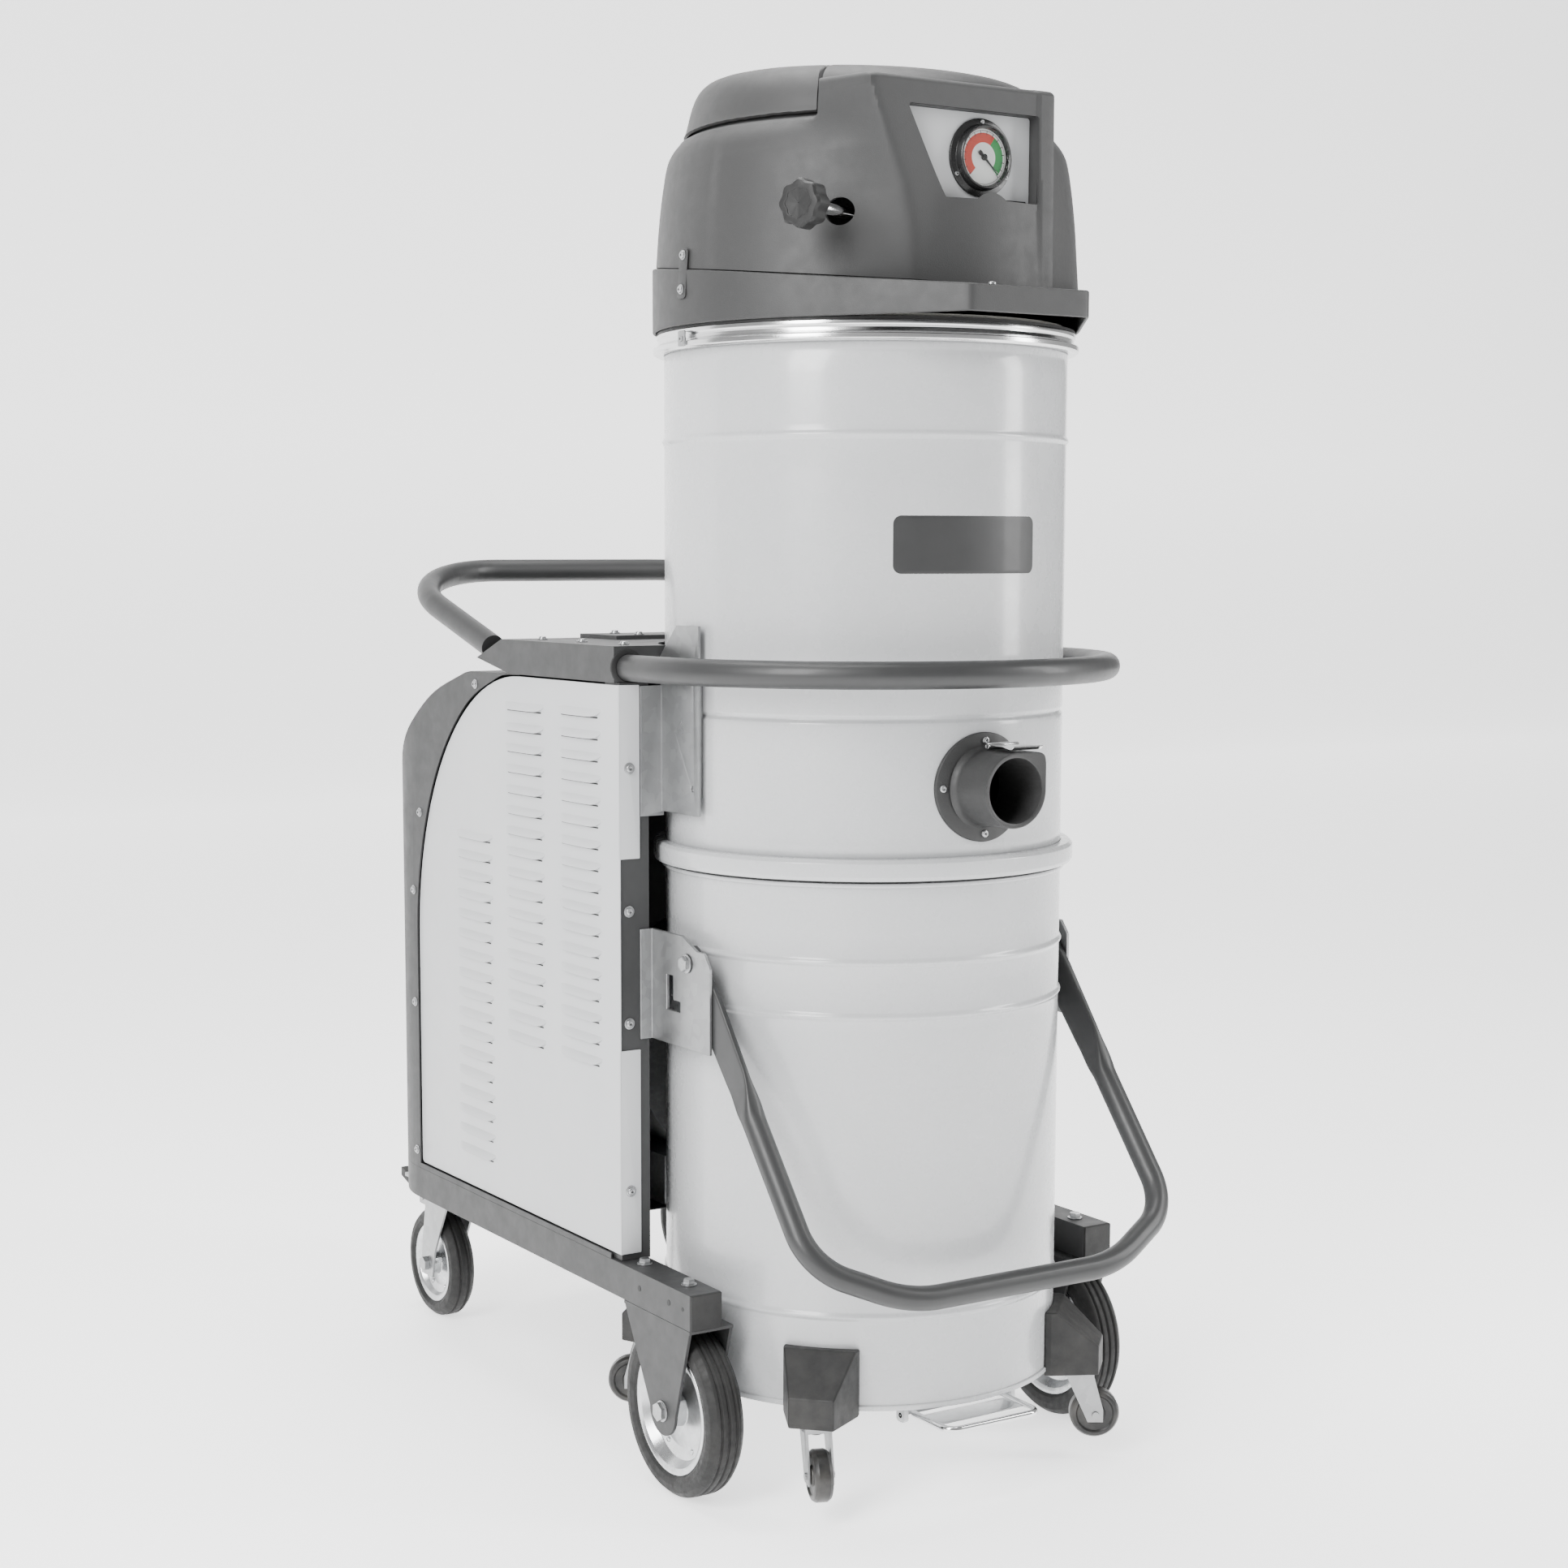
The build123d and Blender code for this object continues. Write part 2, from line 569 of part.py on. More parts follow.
def build_rear_casters():
    swivel_y = rear_axle_from_drum - rear_trail
    plate_low = rail_bottom - caster_plate_thick
    plates = block((rear_wheel_x - caster_plate_half, swivel_y - 50, plate_low),
                   (rear_wheel_x + caster_plate_half, swivel_y + 50, rail_bottom))
    stem = rod((rear_wheel_x, swivel_y, plate_low - 12), (0, 0, 1), 10, 12)
    save("rear_caster_plates", mirrored(plates + stem))
    cheek_in = rear_wheel_width / 2 + wheel_side_gap
    crown_top = plate_low - 1
    crown_low = crown_top - 6
    foot = 17.0
    outline = [(swivel_y - 38, crown_top), (swivel_y + 40, crown_top),
               (rear_axle_from_drum + foot, rear_wheel_r + 8), (rear_axle_from_drum + foot, rear_wheel_r - foot),
               (rear_axle_from_drum - foot, rear_wheel_r - foot), (rear_axle_from_drum - foot - 8, rear_wheel_r + 20)]
    for side, sign in (("left", -1), ("right", 1)):
        x = sign * rear_wheel_x
        fork = block((x - cheek_in - 3, swivel_y - 38, crown_low), (x + cheek_in + 3, swivel_y + 40, crown_top))
        for low in (x - cheek_in - 3, x + cheek_in):
            fork += plate(side_plane(low), outline, 3)
        fork -= rod((x, swivel_y, crown_low - 1), (0, 0, 1), 10 + running_gap, 12)
        fork -= rod((x - 60, rear_axle_from_drum, rear_wheel_r), (1, 0, 0), rear_axle_r, 120)
        pin_half = cheek_in + 3 + 7
        axle = rod((x - pin_half, rear_axle_from_drum, rear_wheel_r), (1, 0, 0), rear_axle_r, 2 * pin_half)
        for start in (x - pin_half, x + cheek_in + 3):
            axle += hexagon((start, rear_axle_from_drum, rear_wheel_r), (1, 0, 0), 17, 7)
        hub_y = swivel_y + 56
        hub_z = rear_wheel_r + 92
        pedal_pin = rod((x - cheek_in - 5, hub_y, hub_z), (1, 0, 0), 4, 2 * cheek_in + 10)
        for low in (x - cheek_in - 3, x + cheek_in):
            fork += block((low, swivel_y + 30, hub_z - 10), (low + 3, hub_y + 10, crown_top))
        fork -= rod((x - 60, hub_y, hub_z), (1, 0, 0), 4, 120)
        save(f"{side}_rear_fork", fork, axle, pedal_pin)
        centre = (x, rear_axle_from_drum, rear_wheel_r)
        tyre, rim = wheel(centre, rear_wheel_r, rear_wheel_width, rear_rim_r, rear_axle_r)
        save(f"{side}_rear_tyre", tyre)
        save(f"{side}_rear_rim", rim)
        tip_y = rear_axle_from_drum + rear_pedal_reach
        half = cheek_in - 1
        arm = plate(side_plane(x - half), ((hub_y - 7, hub_z - 7), (hub_y + 9, hub_z - 7),
                                           (tip_y, hub_z + 14), (tip_y, hub_z + 26),
                                           (hub_y - 7, hub_z + 9)), 2 * half)
        arm -= rod((x - 60, hub_y, hub_z), (1, 0, 0), 4 + running_gap, 120)
        save(f"{side}_brake_pedal", arm)


def build_drum_casters():
    names = (("front_left", 225.0, 250.0), ("front_right", 315.0, 328.0),
             ("rear_left", 135.0, 148.0), ("rear_right", 45.0, 30.0))
    blocks = []
    wheel_z = drum_wheel_lift + drum_wheel_r
    stem_low = block_bottom_z - 12
    for name, place, trail in names:
        outline = ((drum_radius - 6, block_top_z), (drum_radius + 10, block_top_z),
                   (block_reach, block_bottom_z + 34), (block_reach, block_bottom_z),
                   (drum_radius - 6, block_bottom_z))
        turn = Pos(0, drum_y, 0) * Rot(0, 0, place)
        flank = Plane((0, -block_width / 2, 0), x_dir=(1, 0, 0), z_dir=(0, -1, 0))
        body = plate(flank, outline, -block_width)
        for side in (-1, 1):
            wedge = make_face(Polyline((drum_radius + 4, side * block_width / 2),
                                       (block_reach + 1, side * block_nose / 2),
                                       (block_reach + 1, side * block_width),
                                       (drum_radius + 4, side * block_width), close=True))
            body -= extrude(Pos(0, 0, block_bottom_z - 1) * wedge, 90)
        body -= Cylinder(drum_radius, 400, align=(Align.CENTER, Align.CENTER, Align.MIN))
        stem = Pos(drum_caster_r, 0, stem_low) * Cylinder(8, 12, align=(Align.CENTER, Align.CENTER, Align.MIN))
        blocks.append(turn * (body + stem))
        fork, axle, tread = drum_caster(wheel_z, stem_low)
        axis = Pos(drum_caster_r * cos(radians(place)), drum_y + drum_caster_r * sin(radians(place)), 0)
        swing = axis * Rot(0, 0, trail)
        save(f"{name}_drum_fork", swing * fork, swing * axle)
        save(f"{name}_drum_wheel", swing * tread)
    save("caster_blocks", blocks)


def drum_caster(wheel_z, stem_low):
    """One small swivel caster about its own axis, trailing along +X."""
    half = drum_wheel_width / 2
    top = block_bottom_z - 1
    crown = Pos(0, 0, top - 6) * Cylinder(17, 6, align=(Align.CENTER, Align.CENTER, Align.MIN))
    low = wheel_z - 9
    fork = crown
    for side in (-1, 1):
        y = side * (half + 2.5)
        face = Plane((0, y - 1.25, 0), x_dir=(1, 0, 0), z_dir=(0, -1, 0))
        outline = ((-15, top - 6), (17, top - 6), (drum_caster_trail + 9, wheel_z + 6),
                   (drum_caster_trail + 9, low), (drum_caster_trail - 9, low))
        fork += plate(face, outline, -2.5)
    fork += Pos(0, 0, top - 3) * Box(34, 2 * half + 7.5, 6)
    fork -= Pos(0, 0, stem_low - 2) * Cylinder(8 + running_gap, 20, align=(Align.CENTER, Align.CENTER, Align.MIN))
    along = Pos(drum_caster_trail, 0, wheel_z) * Rot(90, 0, 0)
    fork -= along * Cylinder(drum_axle_r, 60)
    axle = along * Cylinder(drum_axle_r, 2 * half + 12)
    tread = along * (Cylinder(drum_wheel_r, drum_wheel_width) - Cylinder(drum_axle_r + running_gap, 60))
    tread = fillet(tread.edges().filter_by(GeomType.CIRCLE).group_by(SortBy.RADIUS)[-1], 5)
    return fork, axle, tread


# ---------------------------------------------------------------- cabinet

def curve_points(inset):
    """Side view of the cabinet's rear: straight up, then a quarter of an ellipse to the box."""
    rear = chassis_rear - inset
    span = rear - (box_rear_y - 25)
    rise = box_bottom_z - panel_curve_start_z - inset
    steps = 8
    line = []
    for i in range(steps + 1):
        angle = radians(90 * i / steps)
        line.append((rear - span * (1 - cos(angle)), panel_curve_start_z + rise * sin(angle)))
    return line


def panel_curve():
    """Rear edge of the side panels, given as (distance behind the drum axis, height)."""
    span = panel_rear_y - box_rear_y + 108
    rise = panel_top_z - panel_curve_start_z
    steps = 8
    line = []
    for i in range(steps + 1):
        angle = radians(90 * i / steps)
        line.append((panel_rear_y - span * (1 - cos(angle)), panel_curve_start_z + rise * sin(angle)))
    return line


def cabinet_volume(inset):
    """Cabinet body: the trolley's plan with rounded corners, under the curved rear line."""
    front = box_front_y
    low = rail_top
    tall = extrude(Pos(0, 0, low) * trolley_plan(inset), box_bottom_z - low - 1 - inset)
    curve = curve_points(inset)
    arc = Spline(*curve, tangents=((0, 1), (-1, 0)))
    sides = Polyline(curve[-1], (front, curve[-1][1]), (front, low - 1), (curve[0][0], low - 1), curve[0])
    side = make_face(side_plane(-half_width - 1) * (arc + sides))
    return tall & extrude(side, 2 * half_width + 2)


def panel_face(grow):
    """Outline of a side panel in its own plane."""
    front = panel_front_y
    line = panel_curve()
    arc = Spline(*[(y + grow, z + grow) for y, z in line], tangents=((0, 1), (-1, 0)))
    top = line[-1][1] + grow
    base = panel_bottom_z - grow
    rest = Polyline((line[-1][0] + grow, top), (front - grow, top), (front - grow, base),
                    (line[0][0] + grow, base), (line[0][0] + grow, line[0][1] + grow))
    return make_face(side_plane(0) * (arc + rest))


def louvre_rows():
    """Places of the louvres in three columns: (nearer edge, farther edge, top height)."""
    columns = ((42.0, 881.0), (181.0, 879.0), (320.0, 711.0))
    for inwards, top in columns:
        front = panel_front_y + inwards
        for i in range(louvre_rows_each):
            z = top - i * louvre_pitch
            if z - louvre_height > panel_bottom_z + louvre_pitch / 2:
                yield front, front + louvre_length, z


def build_cabinet():
    x = panel_x
    sheet = extrude(Pos(x - cabinet_sheet, 0, 0) * panel_face(0), cabinet_sheet)
    cuts = []
    hoods = []
    for front, rear, z in louvre_rows():
        wedge = ((x - 0.2, z), (x + 2.2, z - louvre_height), (x - 0.2, z - louvre_height))
        plane = Plane(at(0, front, 0), x_dir=(1, 0, 0), z_dir=(0, -1, 0))
        hoods.append(plate(plane, wedge, -(rear - front)))
        cuts.append(block((x - 5, front + 2, z - louvre_height), (x - 0.4, rear - 2, z - louvre_height + 5)))
    flange = block((x - 27, panel_front_y, panel_bottom_z), (x, panel_front_y + cabinet_sheet, panel_top_z))
    relief = block((x - 30, panel_front_y - 1, 494), (x - 0.5, panel_front_y + cabinet_sheet + 0.01, 714))
    panel = (sheet - cuts + hoods) + (flange - relief)
    save("side_panels", mirrored(panel))

    shell = cabinet_volume(0) - cabinet_volume(cabinet_sheet)
    window = extrude(Pos(-half_width - 1, 0, 0) * panel_face(1.5), 2 * half_width + 2)
    shell = shell - window - block((-half_width, 0, 0), (half_width, panel_front_y + 20, box_top_z))
    open_front = block((-half_width + 30, 0, 0), (half_width - 30, drum_radius + 115, box_top_z))
    shell = shell - open_front
    hole = rod((switch_x, chassis_rear - 20, switch_z), (0, 1, 0), 12, 60)
    gland_hole = rod((-switch_x, chassis_rear - 20, gland_z), (0, 1, 0), 11, 60)
    save("rear_cover", shell - hole - gland_hole)

    post_x = x - cabinet_sheet
    leg = block((post_x - 38, post_y, rail_top), (post_x, post_y + 3, box_bottom_z))
    web = block((post_x - 3, post_y, rail_top), (post_x, 90, box_bottom_z))
    save("cabinet_posts", mirrored(leg + web))
    build_box()
    build_suction()


def build_box():
    """Sheet box over the cabinet with the two tubes let into it, and its lid."""
    low_rear = box_rear_y - 88
    top_rear = box_rear_y - 68
    side = [(box_front_y, box_bottom_z), (low_rear, box_bottom_z), (box_rear_y, box_tip_z),
            (top_rear, box_top_z), (box_front_y, box_top_z)]
    solid = plate(side_plane(-half_width), side, 2 * half_width)
    inset = cabinet_sheet
    room = [(box_front_y + inset, box_bottom_z - 1), (low_rear + 2, box_bottom_z - 1),
            (box_rear_y - 12, box_tip_z - 2), (top_rear - 2, box_top_z - inset),
            (box_front_y + inset, box_top_z - inset)]
    hollow = plate(side_plane(-half_width + inset), room, 2 * (half_width - inset))
    drum = rod((0, 0, 800), (0, 0, 1), drum_radius + 8, 300)
    box = solid - hollow - drum
    for sign in (-1, 1):
        box -= rod((sign * hoop_leg, -20, hoop_z), (0, 1, 0), hoop_tube_r, 130)
        start = (sign * handle_half_width, handle_start_y - 20, handle_start_z - 20 * handle_slope)
        box -= rod(start, (0, 1, handle_slope), hoop_tube_r, 80)
    box -= rod((0, duct_y, 900), (0, 0, 1), duct_r, 200)
    lid = block((-190, tray_front, box_top_z), (190, top_rear - 2, box_top_z + 5))
    lid -= rod((0, duct_y, 900), (0, 0, 1), duct_r, 200)
    lid -= rod((0, 0, 900), (0, 0, 1), drum_radius + 8, 200)
    save("top_box", box, lid)


def handle_points():
    """Centre line of the push handle: level start in the box, then a rising U behind it."""
    rear_z = handle_start_z + (handle_rear_y - handle_start_y) * handle_slope
    half = handle_half_width
    return [(-half, handle_start_y, handle_start_z), (-half, handle_rear_y, rear_z),
            (half, handle_rear_y, rear_z), (half, handle_start_y, handle_start_z)]


def build_tubes():
    inside = box_front_y + 40
    leg = hoop_leg
    arc = CenterArc(at(0, 0, hoop_z), leg, 180, 180)
    left = Line(at(-leg, inside, hoop_z), at(-leg, 0, hoop_z))
    right = Line(at(leg, 0, hoop_z), at(leg, inside, hoop_z))
    path = Wire([left.edge(), arc.edge(), right.edge()])
    hoop = sweep(Plane(path @ 0, z_dir=path % 0) * Circle(hoop_tube_r), path)
    save("hoop_tube", hoop)
    save("push_handle", bent_tube(handle_points(), handle_corner_r, hoop_tube_r))


def build_suction():
    """Duct from the clean side of the head, blower, motor, rotor and the control box."""
    top_z = duct_top_z
    low_z = motor_z + blower_r + 40
    start_y = drum_radius - 30
    outer = bent_tube([(0, start_y, top_z), (0, duct_y, top_z), (0, duct_y, low_z)], duct_bend_r, duct_r)
    inner = bent_tube([(0, start_y - 1, top_z), (0, duct_y, top_z), (0, duct_y, low_z - 1)], duct_bend_r,
                      duct_r - duct_wall)
    save("suction_duct", outer - inner)
    front = blower_front
    housing = rod((0, front, motor_z), (0, 1, 0), blower_r, blower_depth)
    port = rod((0, duct_y, motor_z), (0, 0, 1), duct_r, blower_r + 40)
    room = rod((0, front + 8, motor_z), (0, 1, 0), blower_r - 15, blower_depth - 16)
    bore = rod((0, duct_y, motor_z), (0, 0, 1), duct_r - 4, blower_r + 60)
    rotor_hole = rod((0, front + 40, motor_z), (0, 1, 0), shaft_r + running_gap, 60)
    feet = block((-120, front, rail_top), (120, front + blower_depth, motor_z - blower_r + 20))
    save("blower_housing", housing + port + feet - room - bore - rotor_hole)
    wheel_disc = rod((0, front + 14, motor_z), (0, 1, 0), blower_r - 22, 12)
    vane_hub = rod((0, front + 14, motor_z), (0, 1, 0), 30, 60)
    shaft = rod((0, front + 14, motor_z), (0, 1, 0), shaft_r, 120)
    save("impeller", wheel_disc + vane_hub + shaft)
    start = front + blower_depth
    body = rod((0, start, motor_z), (0, 1, 0), motor_r, motor_length)
    shaft_room = rod((0, start - 1, motor_z), (0, 1, 0), shaft_r + running_gap, 60)
    base = block((-90, start + 20, rail_top), (90, start + motor_length - 20, motor_z - motor_r + 20))
    save("motor", body + base - shaft_room)
    box = block((-half_width + 8, 100, rail_top), (-half_width + 50, 232, 480))
    gland = rod((-switch_x, chassis_rear - 14, gland_z), (0, 1, 0), 10.5, 14)
    gland += hexagon((-switch_x, chassis_rear, gland_z), (0, 1, 0), 26, 16)
    gland -= rod((-switch_x, chassis_rear - 20, gland_z), (0, 1, 0), 5, 50)
    save("control_box", box, gland)
    plate_y = chassis_rear
    escutcheon = block((switch_x - 35, plate_y, switch_z - 35), (switch_x + 35, plate_y + 4, switch_z + 35))
    escutcheon -= rod((switch_x, plate_y - 5, switch_z), (0, 1, 0), 6 + running_gap, 20)
    save("switch_plate", escutcheon)
    knob = rod((switch_x, plate_y + 4.4, switch_z), (0, 1, 0), 24, 6)
    knob += rod((switch_x, plate_y - 24, switch_z), (0, 1, 0), 6, 30)
    knob += block((switch_x - 6, plate_y + 8, switch_z - 23), (switch_x + 6, plate_y + 26, switch_z + 23))
    save("switch_knob", knob)


# ---------------------------------------------------------------- brackets and lever

def build_brackets():
    """Galvanised plates that hold the chamber, and the plates that carry the lever."""
    x = drum_radius + 7
    tall = 767.0
    rise = 978.0
    outline = ((-28, tall), (post_y, tall), (post_y, rise - 35), (20, rise), (-28, rise))
    plate_part = plate(side_plane(x), outline, 3)
    for corner_z in (tall + 30, rise - 40):
        plate_part -= rod((x - 5, -15, corner_z), (1, 0, 0), 3.5, 20)
    flange = block((x, post_y - 3, tall - 5), (half_width - 30, post_y, box_bottom_z - 4))
    pad = block((drum_radius - 3, -20, tall + 20), (x, 10, rise - 40))
    pad -= rod((0, 0, 700), (0, 0, 1), drum_radius, 400)
    save("chamber_brackets", mirrored(plate_part + flange + pad))

    arm_out = lever_x + 4 + seat
    low = 506.0
    high = 633.0
    y = lever_pivot_y
    outline = [(-73, low), (post_y, low), (post_y, high), (y + 12, high), (y - 20, high - 14),
               (-60, high - 14), (-73, high - 30)]
    holder = plate(side_plane(arm_out), outline, 4)
    slot = plate(side_plane(arm_out - 1), ((-10, 545), (20, 545), (20, 585), (6, 585), (6, 557), (-10, 557)), 6)
    holder -= slot
    holder -= rod((arm_out - 5, y, lever_pivot_z), (1, 0, 0), lever_pin_r, 20)
    holder += block((arm_out, post_y - 3, low), (half_width - 29, post_y, high))
    pin = rod((lever_x - 4, y, lever_pivot_z), (1, 0, 0), lever_pin_r, 4 + seat + 8)
    save("lever_brackets", mirrored(holder), mirrored(pin))


def lever_point(x, along):
    """Place at a distance along the lever's arms from the pivot."""
    return (x, lever_pivot_y - along * lever_sin, lever_pivot_z - along * lever_cos)


def build_lever():
    """Bar bent from tube, its ends flattened into cheeks on the pivots."""
    shoulder = 56.0
    inward = 105.0
    route = [lever_point(-lever_x, 160), lever_point(-lever_x, lever_reach - shoulder),
             lever_point(-lever_x + inward, lever_reach), lever_point(lever_x - inward, lever_reach),
             lever_point(lever_x, lever_reach - shoulder), lever_point(lever_x, 160)]
    bar = bent_tube(route, [70, 150, 150, 70], lever_tube_r)
    face = Plane(at(-4, lever_pivot_y, lever_pivot_z), x_dir=(0, -lever_sin, -lever_cos), z_dir=(1, 0, 0))
    cheek = make_face(face * Polyline((0, -18), (60, -24), (150, -20), (190, -10), (190, 10), (150, 20),
                                      (60, 24), (0, 18), close=True))
    cheek = extrude(cheek, 8) + extrude(face * Circle(20), 8)
    hole = rod((-40, lever_pivot_y, lever_pivot_z), (1, 0, 0), lever_pin_r + running_gap, 80)
    arms = [Pos(s * lever_x, 0, 0) * (cheek - hole) for s in (-1, 1)]
    save("lever_bar", bar + arms[0] + arms[1])


def build_bail():
    """Wire pull under the container's front with a step plate on it."""
    z = bail_z
    half = bail_half_width
    back = bail_hinge_y
    front = -bail_reach
    wire = bent_tube([(-half, back, z), (-half, front, z), (half, front, z), (half, back, z)], 14,
                     bail_wire_r)
    tread = block((-half, back - 50, z - 1), (half, back - 14, z + 1))
    ends = half + bail_eye
    eye_rod = rod((-ends, back, z), (1, 0, 0), bail_wire_r, 2 * ends)
    save("wire_bail", wire + tread + eye_rod)


def bail_lugs():
    """Ears welded under the container's floor that the wire pull hinges in."""
    lugs = []
    for x in (-bail_half_width - bail_eye, bail_half_width + bail_eye - 6):
        lug = block((x, bail_hinge_y - 8, bail_z - 8), (x + 6, bail_hinge_y + 8, container_floor_z))
        lugs.append(lug - rod((x - 5, bail_hinge_y, bail_z), (1, 0, 0), bail_wire_r + running_gap, 20))
    return lugs


def build_screws():
    """Visible screws and bolts of the frame and the cabinet."""
    heads = []
    for z in (330, 817):
        heads.append(rod((panel_x - 13, panel_front_y, z), (0, -1, 0), bolt_head_r, 3))
    for z in (525, 654):
        heads.append(rod((panel_x - 13, post_y, z), (0, -1, 0), bolt_head_r, 3))
    strip = panel_rear_y + 10
    for y, z in ((strip, 271), (strip, 470), (strip, 619), (strip - 24, 723), (strip - 198, 897)):
        heads.append(rod((half_width, y, z), (1, 0, 0), bolt_head_r, 2.5))
    for y in (34, -65):
        heads.append(hexagon((half_width - 24, y, rail_top), (0, 0, 1), 13, 8))
    both = [piece for head in heads for piece in mirrored(head)]
    save("frame_screws", both)


build_container()
build_chamber()
build_inlet()
build_head()
build_filter()
build_chassis()
build_front_wheels()
build_rear_casters()
build_drum_casters()
build_cabinet()
build_tubes()
build_brackets()
build_lever()
build_bail()
build_screws()
print(len(made), "nodes")
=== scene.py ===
import json
from math import atan2, cos, hypot, pi, radians, sin, tan

import bmesh
import bpy
import numpy as np
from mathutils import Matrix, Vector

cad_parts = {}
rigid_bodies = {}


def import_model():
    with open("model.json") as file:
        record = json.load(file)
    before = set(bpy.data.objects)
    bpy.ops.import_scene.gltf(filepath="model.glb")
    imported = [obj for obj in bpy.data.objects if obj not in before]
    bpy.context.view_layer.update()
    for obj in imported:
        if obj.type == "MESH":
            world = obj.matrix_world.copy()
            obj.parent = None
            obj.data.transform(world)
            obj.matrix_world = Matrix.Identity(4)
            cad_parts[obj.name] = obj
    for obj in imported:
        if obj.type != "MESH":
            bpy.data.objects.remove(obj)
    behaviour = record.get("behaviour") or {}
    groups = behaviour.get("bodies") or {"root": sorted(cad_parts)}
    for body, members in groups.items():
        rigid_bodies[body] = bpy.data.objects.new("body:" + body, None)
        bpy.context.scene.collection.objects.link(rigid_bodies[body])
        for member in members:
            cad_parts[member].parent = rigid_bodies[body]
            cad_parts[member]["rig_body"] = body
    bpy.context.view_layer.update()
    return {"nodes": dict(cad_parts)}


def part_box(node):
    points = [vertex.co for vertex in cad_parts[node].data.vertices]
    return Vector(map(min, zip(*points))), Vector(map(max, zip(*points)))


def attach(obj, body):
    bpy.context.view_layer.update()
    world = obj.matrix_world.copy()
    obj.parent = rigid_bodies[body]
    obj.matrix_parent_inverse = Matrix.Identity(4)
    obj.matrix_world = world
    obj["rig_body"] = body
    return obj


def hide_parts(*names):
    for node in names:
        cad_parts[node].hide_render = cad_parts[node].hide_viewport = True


for leftover in list(bpy.data.objects):
    bpy.data.objects.remove(leftover)
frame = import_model()
nodes = frame["nodes"]

# Lengths below are millimetres, y counted from the drum's axis and z from the floor.
MM = 0.001
ring_low, ring_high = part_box("clamp_ring")
AXIS_Y = (ring_low.y + ring_high.y) / 2 / MM
DRUM_R = 230.0
SHARP = 32.0  # degrees between faces that stay a hard edge
HALF_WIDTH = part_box("top_box")[1].x / MM


# ---------------------------------------------------------------- shapes as arrays

def unit(v):
    """A vector, or rows of vectors, at length one."""
    v = np.asarray(v, float)
    return v / np.linalg.norm(v, axis=-1, keepdims=True)


def ease(x, low, high):
    """Smooth step: 0 before low, 1 after high, 3t^2 - 2t^3 between."""
    t = np.clip((np.asarray(x, float) - low) / (high - low), 0, 1)
    return t * t * (3 - 2 * t)


def larger(a, b, blend):
    """Greater of two surfaces, their crease rounded: half of a + b + sqrt((a - b)^2 + blend^2)."""
    return (a + b + np.sqrt((a - b) ** 2 + blend ** 2)) / 2


def smaller(a, b, blend):
    """Lesser of two surfaces, their crease rounded in the same way."""
    return (a + b - np.sqrt((a - b) ** 2 + blend ** 2)) / 2


def rounded(corners, radius, steps=6, closed=True):
    """Line through corners, each turned into a circular arc.

    The arc is the rational quadratic (1-t)^2 A + 2t(1-t) w C + t^2 B, over the same sum of weights,
    where A and B lie on the two edges as far from corner C as the radius asks, and w is the sine of
    half the corner's angle."""
    c = np.asarray(corners, float)
    before = np.roll(c, 1, 0) - c
    after = np.roll(c, -1, 0) - c
    span = np.minimum(np.linalg.norm(before, axis=1), np.linalg.norm(after, axis=1)) * 0.499
    a, b = unit(before + 1e-12), unit(after + 1e-12)
    half = np.arccos(np.clip((a * b).sum(1), -0.999999, 0.999999)) / 2
    cut = np.minimum(np.broadcast_to(radius, half.shape) / np.tan(half), span)
    start, end = c + a * cut[:, None], c + b * cut[:, None]
    t = np.linspace(0, 1, steps)[None, :, None]
    w = np.sin(half)[:, None, None]
    top = (1 - t) ** 2 * start[:, None] + 2 * t * (1 - t) * w * c[:, None] + t ** 2 * end[:, None]
    line = (top / ((1 - t) ** 2 + 2 * t * (1 - t) * w + t ** 2))
    if closed:
        return line.reshape(-1, c.shape[1])
    return np.vstack([c[:1], line[1:-1].reshape(-1, c.shape[1]), c[-1:]])


def spaced(line, step):
    """The same open line with points no further apart than step."""
    line = np.asarray(line, float)
    gaps = np.linalg.norm(np.diff(line, axis=0), axis=1)
    keep = np.concatenate([[True], gaps > 1e-6])
    line = line[keep]
    along = np.concatenate([[0], np.cumsum(np.linalg.norm(np.diff(line, axis=0), axis=1))])
    extra = np.arange(step, along[-1], step)
    at = np.unique(np.concatenate([along, extra]))
    return np.stack([np.interp(at, along, line[:, k]) for k in range(line.shape[1])], 1)


def net(points, wrap_u=False, wrap_v=False, caps=False):
    """Quads over a grid of points (u, v, 3). caps closes the first and last rows of v with one face each."""
    p = np.asarray(points, float)
    nu, nv = p.shape[:2]
    index = np.arange(nu * nv).reshape(nu, nv)
    u = np.arange(nu if wrap_u else nu - 1)
    v = np.arange(nv if wrap_v else nv - 1)
    u, v = np.meshgrid(u, v, indexing="ij")
    un, vn = (u + 1) % nu, (v + 1) % nv
    quads = np.stack([index[u, v], index[un, v], index[un, vn], index[u, vn]], -1).reshape(-1, 4)
    faces = quads.tolist()
    if caps:
        faces += [index[:, 0].tolist(), index[::-1, -1].tolist()]
    return p.reshape(-1, 3), faces


def gathered(*parts):
    """Several (points, faces) as one."""
    points, faces, base = [], [], 0
    for p, f in parts:
        points.append(p)
        faces += [[i + base for i in face] for face in f]
        base += len(p)
    return np.vstack(points), faces


def axes_for(direction):
    """Two unit vectors square to a direction and to each other."""
    d = unit(direction)
    helper = np.array([0.0, 0.0, 1.0]) if abs(d[2]) < 0.9 else np.array([1.0, 0.0, 0.0])
    first = unit(np.cross(helper, d))
    return first, np.cross(d, first), d


